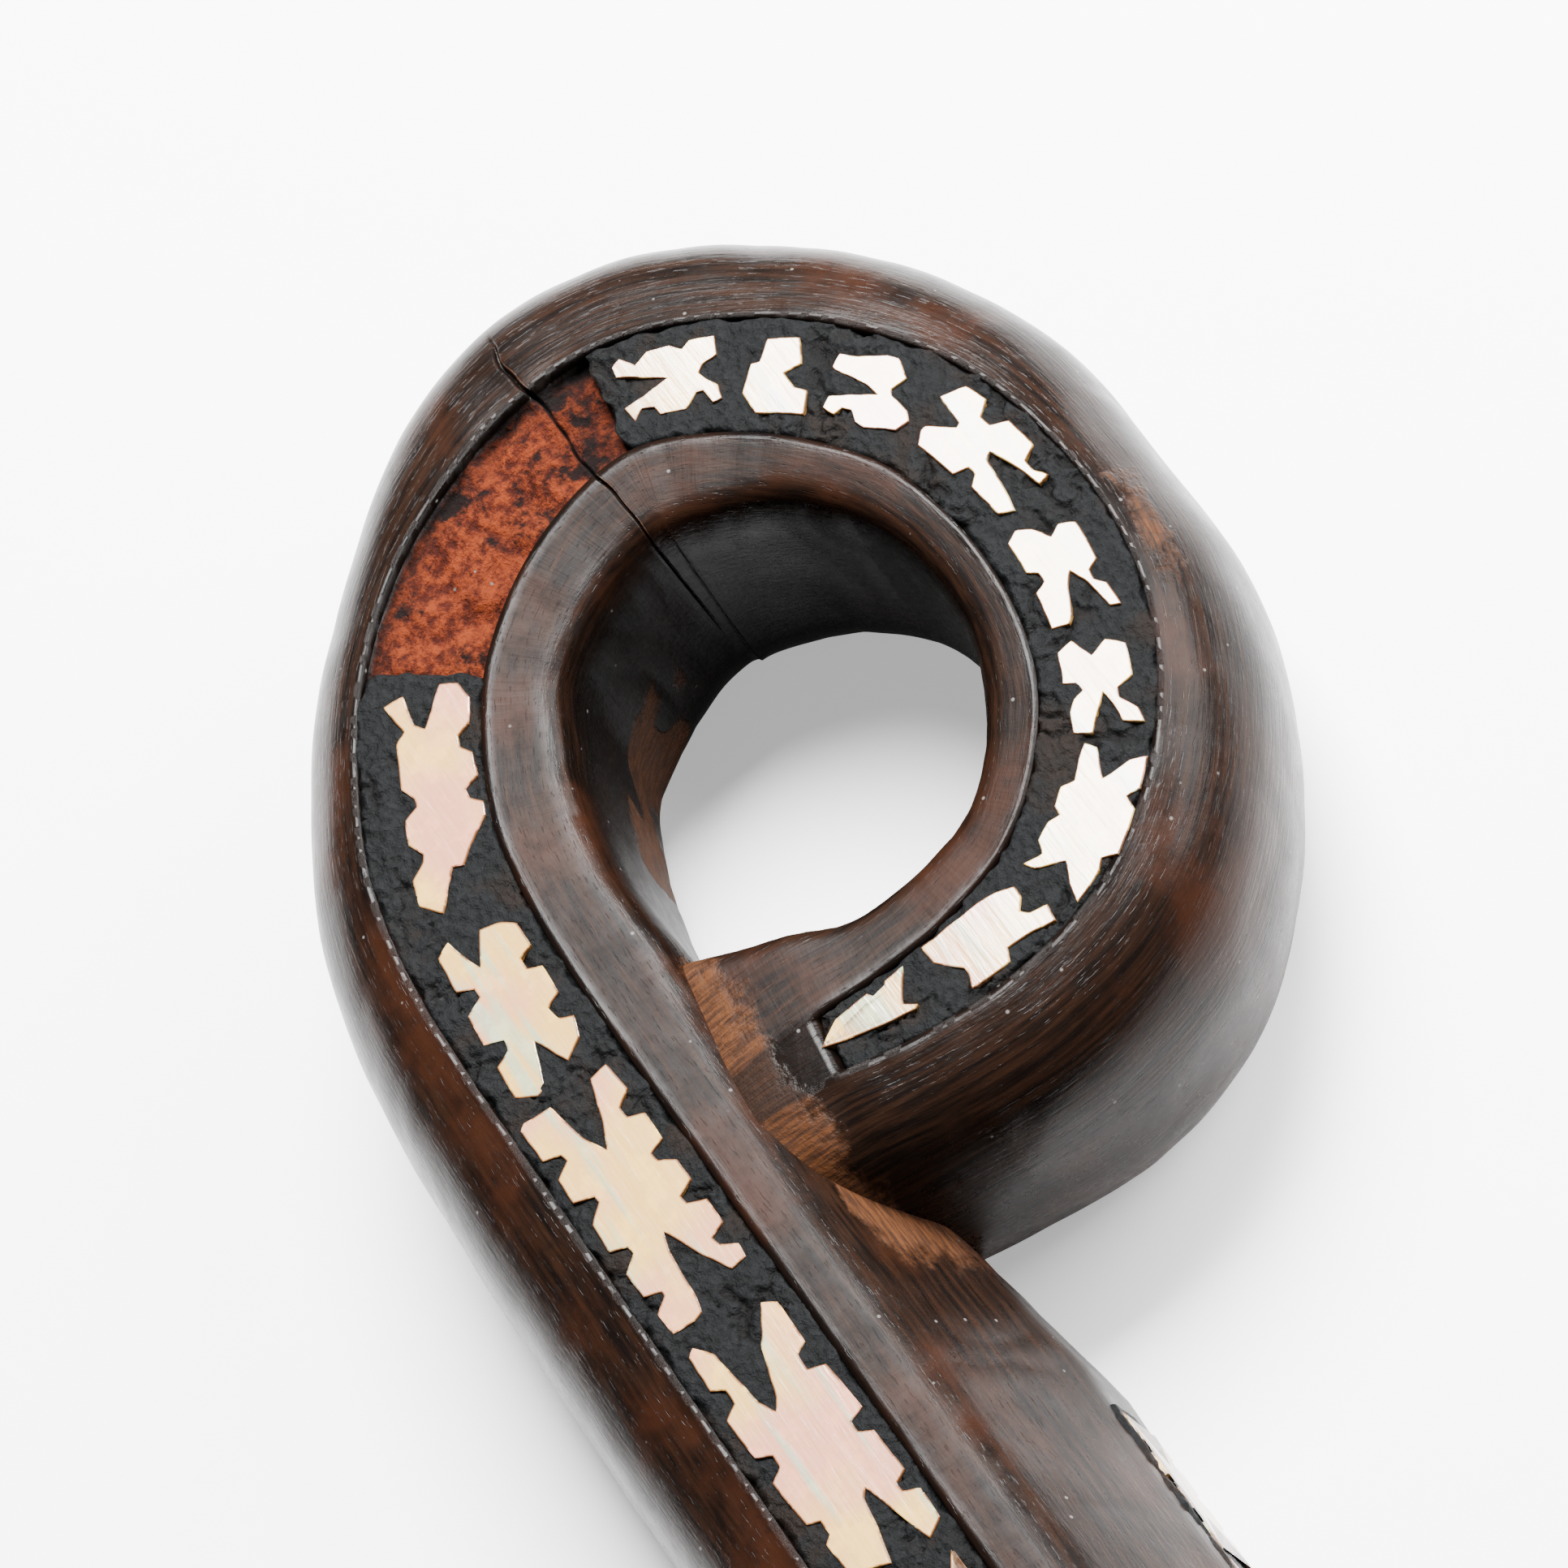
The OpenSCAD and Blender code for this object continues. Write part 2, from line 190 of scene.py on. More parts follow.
def lumps(points, scale, seed=0.0, octaves=1):
    """Smooth noise from -1 to 1 at each point, with lumps about `scale` mm wide."""
    flat = np.asarray(points, float).reshape(-1, 3) / scale + seed
    total = np.zeros(len(flat))
    for octave in range(octaves):
        step = 2.0**octave
        total += np.array([noise.noise(Vector(p * step)) for p in flat]) / step
    return total.reshape(np.shape(points)[:-1])


def edge_of_cells(points, scale, seed=0.0):
    """Distance to the nearest wall between cells, 0 on the wall, in cell sizes."""
    flat = np.asarray(points, float).reshape(-1, 3) / scale + seed
    gaps = [noise.voronoi(Vector(p))[0] for p in flat]
    return np.array([d[1] - d[0] for d in gaps]).reshape(np.shape(points)[:-1])


def soft_step(low, high, value):
    """0 at `low` and 1 at `high`, with a smooth rise between them."""
    t = np.clip((value - low) / (high - low), 0, 1)
    return t * t * (3 - 2 * t)


def window(value, rise, fall):
    """1 between two soft edges, each given as (start, end), and 0 outside them."""
    return soft_step(*rise, value) * soft_step(*reversed(fall), value)


def bell(offset, width):
    """1 in the middle, falling smoothly to 0 on both sides."""
    return np.exp(-((offset / width) ** 2))


def hollow_reach(swell):
    """Half the hollow's length and width, from its floor at 0 to its mouth at 1."""
    long = (BOWL_LONG / 2 - RIM_WIDTH) * (FLOOR_LONG + (1 - FLOOR_LONG) * swell)
    wide = (BOWL_WIDE / 2 - RIM_WIDTH) * (FLOOR_WIDE + (1 - FLOOR_WIDE) * swell)
    return long, wide


def unit_vectors(vectors):
    return vectors / (np.linalg.norm(vectors, axis=-1, keepdims=True) + 1e-9)


def grid_mesh(points):
    """A bmesh grid whose corners stand at points[row, column], in millimetres."""
    rows, columns = points.shape[0] - 1, points.shape[1] - 1
    bm = bmesh.new()
    bmesh.ops.create_grid(bm, x_segments=columns, y_segments=rows, size=0.5)
    order = []
    for vert in bm.verts:
        column = round((vert.co.x + 0.5) * columns)
        row = round((vert.co.y + 0.5) * rows)
        order.append((row, column))
        vert.co = Vector(points[row, column]) * MM
    return bm, np.array(order)


def keep_values(bm, order, values):
    """Puts one number or vector per grid corner on the mesh, by name."""
    for name, table in values.items():
        table = np.asarray(table, float)
        layers = bm.verts.layers.float_vector if table.ndim == 3 else bm.verts.layers.float
        layer = layers.new(name)
        for vert, (row, column) in zip(bm.verts, order):
            value = table[row, column]
            vert[layer] = Vector(value) if table.ndim == 3 else float(value)


def close_up(bm, distance=0.0005):
    """Merges the seam, fills open ends and turns the faces outwards."""
    bmesh.ops.remove_doubles(bm, verts=bm.verts, dist=distance * MM)
    open_edges = [edge for edge in bm.edges if edge.is_boundary]
    if open_edges:
        bmesh.ops.holes_fill(bm, edges=open_edges, sides=0)
    bmesh.ops.recalc_face_normals(bm, faces=bm.faces)


def finish_piece(name, bm, material, node, flat=False):
    """Turns a bmesh into a piece that rides on the root and stands for a CAD node."""
    mesh = bpy.data.meshes.new(name)
    bm.to_mesh(mesh)
    bm.free()
    piece = bpy.data.objects.new(name, mesh)
    bpy.context.scene.collection.objects.link(piece)
    mesh.materials.append(bpy.data.materials[material])
    mesh.polygons.foreach_set("use_smooth", [not flat] * len(mesh.polygons))
    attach(piece, "root")
    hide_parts(node)


# ---------------------------------------------------------------- materials

def socket(group, name, kind, in_out, default=None):
    made = group.interface.new_socket(name=name, in_out=in_out, socket_type=f"NodeSocket{kind}")
    if default is not None:
        made.default_value = default
    return made


def add(tree, kind, inputs=None, **settings):
    """A node with its settings, and its inputs set to values or linked to outputs."""
    made = tree.nodes.new(f"ShaderNode{kind}")
    for key, value in settings.items():
        setattr(made, key, value)
    for key, value in (inputs or {}).items():
        if isinstance(value, bpy.types.NodeSocket):
            tree.links.new(value, made.inputs[key])
        else:
            made.inputs[key].default_value = value
    return made


def ramp(tree, factor, low, high):
    """Factor run from 0 at `low` to 1 at `high`."""
    made = add(tree, "MapRange", {0: factor, 1: low, 2: high}, interpolation_type="SMOOTHSTEP")
    return made.outputs[0]


def math_node(tree, operation, a, b=0.0, clamp=False):
    return add(tree, "Math", {0: a, 1: b}, operation=operation, use_clamp=clamp).outputs[0]


def mix_colour(tree, factor, a, b):
    return add(tree, "Mix", {0: factor, 6: a, 7: b}, data_type="RGBA").outputs[2]


def scaled(tree, value, share):
    return math_node(tree, "MULTIPLY", value, share)


def noise_node(tree, vector, scale, detail=3.0, rough=0.55, stretch=None):
    if stretch:
        vector = add(tree, "Mapping", {0: vector, 3: stretch}).outputs[0]
    inputs = {"Vector": vector, "Scale": scale, "Detail": detail, "Roughness": rough}
    return add(tree, "TexNoise", inputs).outputs[0]


def attribute(tree, name):
    return add(tree, "Attribute", attribute_name=name)


def new_group(name, inputs, outputs):
    group = bpy.data.node_groups.new(name, "ShaderNodeTree")
    for label, kind, default in inputs:
        socket(group, label, kind, "INPUT", default)
    for label, kind in outputs:
        socket(group, label, kind, "OUTPUT")
    entry, leave = group.nodes.new("NodeGroupInput"), group.nodes.new("NodeGroupOutput")
    return group, entry.outputs, leave.inputs


def pores_group():
    """Short open pores and fine streaks drawn out along the grain."""
    group, given, made = new_group(
        "Wood Pores",
        [("Grain", "Vector", None), ("Amount", "Float", 1.0)],
        [("Pores", "Float"), ("Streaks", "Float")],
    )
    fine = noise_node(group, given["Grain"], 1.0, 2.0, 0.6, (0.55, 4.5, 4.5))
    streak = noise_node(group, given["Grain"], 1.0, 4.0, 0.6, (0.12, 1.6, 1.6))
    holes = math_node(group, "MULTIPLY", ramp(group, fine, 0.6, 0.72), given["Amount"])
    group.links.new(holes, made["Pores"])
    group.links.new(streak, made["Streaks"])
    return group


def dust_group():
    """Scattered pale specks of dust and lint."""
    group, given, made = new_group(
        "Dust Specks", [("Place", "Vector", None), ("Amount", "Float", 1.0)], [("Dust", "Float")]
    )
    cells = add(group, "TexVoronoi", {"Vector": given["Place"], "Scale": 0.55}, feature="F1")
    near = ramp(group, cells.outputs["Distance"], 0.11, 0.05)
    chosen = add(group, "SeparateColor", {0: cells.outputs["Color"]})
    rare = ramp(group, chosen.outputs[0], 0.78, 0.8)
    specks = scaled(group, scaled(group, near, rare), given["Amount"])
    group.links.new(specks, made["Dust"])
    return group


def place_group(tree, group, inputs):
    made = tree.nodes.new("ShaderNodeGroup")
    made.node_tree = group
    for key, value in inputs.items():
        if isinstance(value, bpy.types.NodeSocket):
            tree.links.new(value, made.inputs[key])
        else:
            made.inputs[key].default_value = value
    return made.outputs


def new_material(name, specular=None):
    """A material with its node tree and its shader."""
    made = bpy.data.materials.new(name)
    made.use_nodes = True
    shader = made.node_tree.nodes["Principled BSDF"]
    if specular is not None:
        shader.inputs["Specular IOR Level"].default_value = specular
    return made.node_tree, shader


def millimetres(tree):
    """Object coordinates in millimetres."""
    where = add(tree, "TexCoord").outputs["Object"]
    return add(tree, "VectorMath", {0: where, 3: 1 / MM}, operation="SCALE").outputs[0]


def bump_chain(tree, shader, layers):
    """Bump nodes in a row, each layer as (height, distance in mm, strength)."""
    normal = None
    for height, distance, strength in layers:
        inputs = {"Height": height, "Distance": distance * MM, "Strength": strength}
        if normal is not None:
            inputs["Normal"] = normal
        normal = add(tree, "Bump", inputs).outputs[0]
    tree.links.new(normal, shader.inputs["Normal"])


def wood_material(look):
    """Dark hardwood: streaked brown, open pores, tool marks, worn and raw places, painted shade in the
    hole and bed, and a painted highlight on the curl's shoulder.
    """
    tree, shader = new_material("rubbed_wood", specular=0.08)
    place = millimetres(tree)
    flow = attribute(tree, "flow").outputs["Vector"]
    pores = place_group(tree, bpy.data.node_groups["Wood Pores"], {"Grain": flow, "Amount": 1.0})
    dust = place_group(tree, bpy.data.node_groups["Dust Specks"], {"Place": place, "Amount": 1.0})
    patches = noise_node(tree, place, 0.07, 4.0, 0.6)
    small = noise_node(tree, place, 0.45, 4.0, 0.65)
    colour = mix_colour(
        tree, ramp(tree, pores["Streaks"], 0.35, 0.7), look.wood_dark, look.wood_brown)
    colour = mix_colour(tree, ramp(tree, patches, 0.48, 0.68), colour, look.wood_red)
    blotches = scaled(tree, ramp(tree, small, 0.5, 0.75), 0.5)
    colour = mix_colour(tree, blotches, colour, look.wood_dark)

    # Rubbed wood shows paler fibres, with an edge broken up by the blotches. The same paler colour paints
    # a highlight along the curl's outer shoulder.
    fibres = noise_node(tree, flow, 1.0, 3.0, 0.6, (0.3, 2.6, 2.6))
    broken = scaled(tree, math_node(tree, "SUBTRACT", small, 0.5), 0.9)
    worn = math_node(tree, "ADD", attribute(tree, "worn").outputs["Fac"], broken)
    worn = ramp(tree, worn, 0.42, 0.75)
    worn_and_highlight_tone = mix_colour(
        tree, ramp(tree, fibres, 0.38, 0.62), look.worn_and_highlight_brown, look.worn_and_highlight_orange)
    colour = mix_colour(tree, worn, colour, worn_and_highlight_tone)

    raw = attribute(tree, "raw").outputs["Fac"]
    crumbs = noise_node(tree, place, 0.9, 6.0, 0.7)
    raw_tone = mix_colour(tree, ramp(tree, crumbs, 0.38, 0.62), look.raw_red, look.raw_orange)
    stains = noise_node(tree, place, 0.26, 5.0, 0.7)
    raw_tone = mix_colour(tree, ramp(tree, stains, 0.5, 0.62), raw_tone, look.raw_stain)
    colour = mix_colour(tree, raw, colour, raw_tone)
    # Black for blackened edges and the crack, and painted shade on the hole's wall and along the bare
    # bed's outer edge.
    colour = mix_colour(tree, attribute(tree, "char").outputs["Fac"], colour, look.char)
    colour = mix_colour(tree, scaled(tree, pores["Pores"], 0.55), colour, look.char)
    colour = mix_colour(tree, scaled(tree, dust["Dust"], 0.55), colour, look.dust)
    tree.links.new(colour, shader.inputs["Base Color"])

    gloss = {0: small, 3: look.wood_gloss - 0.08, 4: look.wood_gloss + 0.14}
    rough = add(tree, "MapRange", gloss).outputs[0]
    tool = attribute(tree, "tool").outputs["Fac"]
    dull = math_node(tree, "MAXIMUM", raw, scaled(tree, worn, 0.7))
    dull = math_node(tree, "MAXIMUM", dull, scaled(tree, tool, 0.6))
    rough = math_node(tree, "ADD", rough, scaled(tree, dull, 0.5), clamp=True)
    tree.links.new(rough, shader.inputs["Roughness"])

    cuts = scaled(tree, noise_node(tree, flow, 1.0, 3.0, 0.6, (1.5, 0.16, 0.16)), tool)
    grit = scaled(tree, crumbs, math_node(tree, "MAXIMUM", raw, scaled(tree, worn, 0.12)))
    bump_chain(tree, shader, [
        (small, 0.12, 0.35),
        (fibres, 0.1, 0.35),
        (scaled(tree, pores["Pores"], -1.0), 0.06, 0.35),
        (cuts, 0.14, 0.3),
        (grit, 1.1, 0.9),
    ])


def putty_material(look):
    """Black resinous putty: cold grey-black with brown stains, lumps and hair cracks."""
    tree, shader = new_material("cracked_putty", specular=0.06)
    place = millimetres(tree)
    grain = noise_node(tree, place, 1.3, 6.0, 0.65)
    broad = noise_node(tree, place, 0.14, 3.0, 0.6)
    colour = mix_colour(tree, ramp(tree, grain, 0.35, 0.7), look.putty_black, look.putty_grey)
    brown = scaled(tree, ramp(tree, broad, 0.52, 0.68), 0.7)
    colour = mix_colour(tree, brown, colour, look.putty_brown)
    colour = mix_colour(tree, attribute(tree, "crack").outputs["Fac"], colour, look.char)
    tree.links.new(colour, shader.inputs["Base Color"])
    rough = add(tree, "MapRange", {0: grain, 3: 0.38, 4: 0.72}).outputs[0]
    tree.links.new(rough, shader.inputs["Roughness"])
    pits = add(tree, "TexVoronoi", {"Vector": place, "Scale": 1.4}, feature="F1").outputs["Distance"]
    bump_chain(tree, shader, [(grain, 0.5, 0.7), (pits, 0.22, 0.5)])


def shell_material(look):
    """Polished pearl shell: cream with drifts of pink and green and brown edges."""
    tree, shader = new_material("polished_shell", specular=0.6)
    shader.inputs["Coat Weight"].default_value = 0.4
    shader.inputs["Coat Roughness"].default_value = 0.07
    place = millimetres(tree)
    own = attribute(tree, "hue").outputs["Fac"]
    drift = noise_node(tree, place, 0.09, 2.0, 0.5)
    layers = noise_node(tree, place, 1.0, 3.0, 0.55, (0.05, 0.5, 0.5))
    pinkness = math_node(tree, "ADD", drift, own)
    colour = mix_colour(tree, ramp(tree, pinkness, 0.46, 0.66), look.shell_cream, look.shell_pink)
    green = math_node(tree, "SUBTRACT", layers, scaled(tree, own, 0.8))
    green = scaled(tree, ramp(tree, green, 0.52, 0.66), 0.7)
    colour = mix_colour(tree, green, colour, look.shell_green)
    stain = noise_node(tree, place, 0.5, 4.0, 0.6)
    spots = scaled(tree, ramp(tree, stain, 0.7, 0.78), 0.8)
    burn = scaled(tree, attribute(tree, "rim").outputs["Fac"], ramp(tree, stain, 0.36, 0.52))
    colour = mix_colour(tree, math_node(tree, "MAXIMUM", spots, burn), colour, look.shell_edge)
    tree.links.new(colour, shader.inputs["Base Color"])
    rough = add(tree, "MapRange", {0: stain, 3: 0.08, 4: 0.2}).outputs[0]
    tree.links.new(rough, shader.inputs["Roughness"])
    scratches = noise_node(tree, place, 1.0, 2.0, 0.6, (0.3, 3.0, 3.0))
    bump_chain(tree, shader, [(layers, 0.1, 0.3), (scratches, 0.03, 0.3)])


def floor_material():
    """A pale, even floor."""
    tree, shader = new_material("studio_floor")
    place = millimetres(tree)
    tone = noise_node(tree, place, 0.01, 2.0, 0.5)
    colour = mix_colour(tree, tone, (0.86, 0.86, 0.865, 1), (0.88, 0.88, 0.88, 1))
    tree.links.new(colour, shader.inputs["Base Color"])
    shader.inputs["Roughness"].default_value = 0.6
    # The floor glows as a lit white sweep does, and most where the camera sees it.
    seen = add(tree, "LightPath").outputs["Is Camera Ray"]
    glow = mix_colour(tree, seen, (0.1, 0.1, 0.1, 1), (1.0, 1.0, 1.0, 1))
    tree.links.new(glow, shader.inputs["Emission Color"])
    shader.inputs["Emission Strength"].default_value = 0.5


# ---------------------------------------------------------------- carved wood

AROUND = 150  # points round the limb, from one lip of the bed to the other
GROOVE = 18  # points across the bed's floor
FACET = 10.5  # width of the slope inside the ridge where the stem is widest
ROOT_SINK = 1.5  # depth of the root's top below the rim
# The bowl's outside: [share of its height, share of its swell from foot to rim]
SWELL = (
    (0, 0), (0.05, 0.18), (0.12, 0.34), (0.22, 0.5), (0.34, 0.66), (0.48, 0.79), (0.64, 0.9),
    (0.8, 0.97), (1, 1),
)


def rounded_run(corners, count):
    """Points evenly spaced along a line of corners, each rounded by its own cut."""
    corners = np.array(corners, float)
    path = [corners[0, :2]]
    for before, here, after in zip(corners, corners[1:], corners[2:]):
        arms = [before[:2] - here[:2], after[:2] - here[:2]]
        starts = []
        for arm in arms:
            length = np.linalg.norm(arm)
            starts.append(here[:2] + arm / length * min(here[2], length * 0.49))
        for t in np.linspace(0, 1, 9):
            path.append((1 - t) ** 2 * starts[0] + 2 * t * (1 - t) * here[:2] + t * t * starts[1])
    path.append(corners[-1, :2])
    path = np.array(path)
    run = np.concatenate([[0], np.cumsum(np.linalg.norm(np.diff(path, axis=0), axis=1))])
    want = np.linspace(0, run[-1], count)
    return np.stack([np.interp(want, run, path[:, k]) for k in range(2)], -1)


def limb_outline(values, level, low):
    """The limb's section as [u, z] points: over the outside, under, then the bed."""
    _, _, out, inner, ridge, half, drop = values
    top = level - drop
    tall = top - low
    side = min(1, (inner - ridge) / FACET)
    lip = half + 0.1
    skin = rounded_run(
        [
            (lip, top, 0),
            (out - 4.5, top - 1.5, 3.4),
            (out - 1.4, top - 5.4, 3),
            (out, low + tall * 0.6, 5),
            (out - 0.6, low + tall * 0.36, 5),
            (out - 3, low + tall * 0.12, 3),
            (out - 6.5, low, 2.5),
            (-inner + 4, low, 2.5),
            (-inner + 1.2, low + tall * 0.1, 1.5),
            (-inner, low + tall * 0.22, 1.8),
            (-inner + 1.1 * side, top - tall * (0.1 + 0.38 * side), 1.6),
            (-ridge - 0.5 * (inner - ridge), top - tall * (0.05 + 0.19 * side), 2 + 2 * side),
            (-ridge, top - 0.9 + 0.4 * side, 2.8),
            (-lip, top, 0),
        ],
        AROUND,
    )
    floor = np.linspace(-lip + 0.3, lip - 0.3, GROOVE)
    bed = [(-lip + 0.1, top - BED_DEPTH * 0.5), *((u, top - BED_DEPTH) for u in floor)]
    bed.append((lip - 0.1, top - BED_DEPTH * 0.5))
    return np.array([*skin, *bed, skin[0]])


def crack_bend(u, z):
    """How far the crack wanders along the band as it crosses the limb."""
    return 0.25 * np.sin(u * 0.55) + 0.08 * np.sin(u * 1.7 + 1) + 0.03 * u + (TOP - z) * 0.05


class BOWL_PG_wood(bpy.types.PropertyGroup):
    """Sizes of the carved wood."""

    ring_gap: length_property("Ring Gap", "Distance between the limb's rings", 0.5, 0.3)
    unevenness: length_property("Unevenness", "How far the hand-cut faces wander", 0.32)
    rough_depth: length_property("Rough Depth", "How rough the bare bed is", 0.8)
    crack_depth: length_property("Crack Depth", "Depth of the crack across the curl", 0.8)


class BOWL_OT_limb(bpy.types.Operator):
    """Sweeps the handle: root, stem and curl, with its bed, bare patch and crack"""

    bl_idname = "bowl.limb"
    bl_label = "Handle"

    def execute(self, context):
        sizes = context.scene.bowl_wood
        made = [*self.root_rings(), *self.handle_rings(sizes.ring_gap / MM)]
        points, outlines, runs = (np.array(part) for part in zip(*made))
        run = runs[:, None] + np.zeros(points.shape[:2])
        u, z = outlines[..., 0], outlines[..., 1]
        values = station(runs)
        inner, ridge, half = (values[:, k : k + 1] for k in (3, 4, 5))
        normal = self.section_normals(points)
        on_top = z > TOP - 3
        in_bed = np.zeros(run.shape, bool)
        in_bed[:, AROUND + 1 : -2] = True
        bare = window(run, (BARE[0] - 0.4, BARE[0] + 0.4), (BARE[1] - 0.4, BARE[1] + 0.4))
        bare_bed = bare * in_bed

        # Hand-cut faces wander, except beside the bed, and the bare bed is rough.
        band = soft_step(half + 1.2, half, np.abs(u)) * on_top
        move = lumps(points, 16, 3.1) * 0.7 + lumps(points, 6, 9.2) * 0.3
        move *= sizes.unevenness / MM * (1 - 0.8 * band)
        facets = np.abs(lumps(np.stack([run / 5, u / 9, z / 9], -1), 1.0, 5.0)) * 0.16
        move += facets * (1 - band)
        rough = lumps(points, 3.2, 1.7, 3) * sizes.rough_depth / MM + 0.45
        points = points + normal * move[..., None]
        points[..., 2] += rough * bare_bed
        # The bed ends under the putty's own last stretch, so its floor comes up there.
        ended = soft_step(BED_END - 0.6, BED_END + 0.6, run)
        ended += soft_step(BED_START + 1.5, BED_START - 0.5, run)
        lift = (z[:, :1] - z[:, AROUND:-1]) * np.clip(ended[:, AROUND:-1], 0, 1)
        points[:, AROUND:-1, 2] += lift
        crack_reach = soft_step(13.5, 9, u) * soft_step(TOP - 20, TOP - 10, z)
        crack = bell(run - CRACK, 0.11) * crack_reach
        points -= normal * (crack * sizes.crack_depth / MM)[..., None]
        self.keep_out_of_hollow(points, run)
        points[..., 2] = np.maximum(points[..., 2], 0)

        # Where the wood is rubbed, blackened or tooled, where shade is painted on the hole's wall and the
        # bare bed's outer edge, and where a highlight is painted on the curl's outer shoulder
        wall = soft_step(-inner + 1.6, -inner + 0.2, u) * soft_step(TOP - 1, TOP - 5, z)
        wall *= run > 44
        patch = soft_step(0.0, 0.4, lumps(points, 7, 4.4, 2) + 0.35)
        low_wall = wall * window(run, (60, 66), (92, 99)) * window(z, (1, 3), (14, 19)) * patch
        crack_edge = bell(run - CRACK - 0.22, 0.13) * crack_reach * 0.7
        # A painted highlight: the curl's outer shoulder takes the paler colour of rubbed wood, where
        # light catches it.
        shoulder_highlight = window(run, (146, 152), (158, 166)) * bell(u - 7.5, 2) * 0.6
        worn = self.junction_mask(points, run, u, z) + low_wall + crack_edge + shoulder_highlight
        worn = np.clip(worn, 0, 1) * (1 - bare_bed)
        near_lip = soft_step(half + 1.1, half + 0.1, np.abs(u)) * on_top * (1 - bare_bed)
        # The bare bed darkens along its outer edge, a painted shadow of the bed's wall, and towards its
        # far end.
        bed_shade_and_stain = soft_step(half - 2.4, half - 0.3, u) * 0.6 + soft_step(101, 107, run) * 0.45
        # The hole's wall is painted dark as shade; the lip beside the bed and the crack are painted
        # black.
        char = wall * 0.8 * (1 - low_wall) + near_lip * 0.75 + crack * 0.9 + bed_shade_and_stain * bare_bed
        facet = soft_step(-half - 0.4, -half - 1.4, u) * soft_step(-ridge, -ridge + 2.2, u)
        facet *= soft_step(TOP - 5, TOP - 2.5, z) * (z <= TOP + 1)

        middle = outlines[len(outlines) // 2]
        steps = np.linalg.norm(np.diff(middle, axis=0, prepend=middle[:1]), axis=1)
        flow = np.stack([run, np.broadcast_to(np.cumsum(steps), run.shape), run * 0], -1)
        bm, order = grid_mesh(points)
        keep_values(bm, order, {
            "flow": flow, "raw": bare_bed, "worn": worn, "char": np.clip(char, 0, 1),
            "tool": np.clip(facet + wall * 0.35, 0, 1),
        })
        close_up(bm)
        finish_piece("handle_wood", bm, "rubbed_wood", "carved_body")
        return {"FINISHED"}

    @staticmethod
    def root_rings():
        """The stem's root, which widens and rises into the bowl's wall."""
        stem = station(0.0)
        root = np.array(ROOT, float)
        for past in np.linspace(ROOT[-1][0], ROOT[0][0], 34)[:-1]:
            rise, wider, lift = (np.interp(past, root[:, 0], root[:, k]) for k in (1, 2, 3))
            values = stem + np.array([0, 0, wider, wider, wider / 2, 0, 0])
            level = TOP + (RIM_TOP - TOP - ROOT_SINK) * rise
            outline = limb_outline(values, level, RIM_TOP * lift)
            x = np.full(len(outline), past - BOWL_LONG / 2)
            y = EYE[1] + stem[1] - outline[:, 0]
            run = -(STEM_RUN + past - STEM_START)
            yield np.stack([x, y, outline[:, 1]], -1), outline, run

    @staticmethod
    def handle_rings(gap):
        """The stem and the curl, with closer rings where the crack wanders across."""
        runs = np.concatenate([
            np.arange(BED_START, -15, 1.5), np.arange(-15, CRACK - 1, gap),
            np.arange(CRACK - 1, CRACK + 1, 0.1), np.arange(CRACK + 1, BAND_END, gap), [BAND_END],
        ])
        for run in runs:
            outline = limb_outline(station(run), TOP, 0.0)
            bend = crack_bend(outline[:, 0], outline[:, 1]) * bell(run - CRACK, 4)
            x, y = beside(np.minimum(run + bend, BAND_END), outline[:, 0])
            yield np.stack([x, y, outline[:, 1]], -1), outline, run

    @staticmethod
    def section_normals(points):
        """Outward normals, from each point's neighbours round and along the limb."""
        ring = points[:, :-1]
        across = np.roll(ring, -1, axis=1) - np.roll(ring, 1, axis=1)
        normal = unit_vectors(np.cross(np.gradient(points, axis=0)[:, :-1], across))
        return np.concatenate([normal, normal[:, :1]], axis=1)

    @staticmethod
    def keep_out_of_hollow(points, run):
        """Ends the root inside the bowl's wall."""
        root = run[:, 0] < -60
        kept = points[root]
        z = np.clip(kept[..., 2], FLOOR + 0.5, RIM_TOP)
        rise = 1 - (z - FLOOR) / (RIM_TOP - FLOOR)
        long, wide = hollow_reach(np.sqrt(np.clip(1 - rise * rise, 0, 1)))
        inside = long * np.sqrt(np.clip(1 - (kept[..., 1] / wide) ** 2, 0, 1))
        kept[..., 0] = np.minimum(kept[..., 0], -inside - 2.5)
        points[root] = kept

    @staticmethod
    def junction_mask(points, run, u, z):
        """Rubbed brown wood where the tail meets the side of the stem."""
        x, y = points[..., 0] - EYE[0], points[..., 1] - EYE[1]
        tail = (run > 200) * soft_step(-8, -16, y) * 0.85
        stem = (run < 46) * (run > 3) * soft_step(-11, -14, u) * window(x, (2, 9), (30, 46))
        return np.clip(tail + stem, 0, 1) * (z > 6)


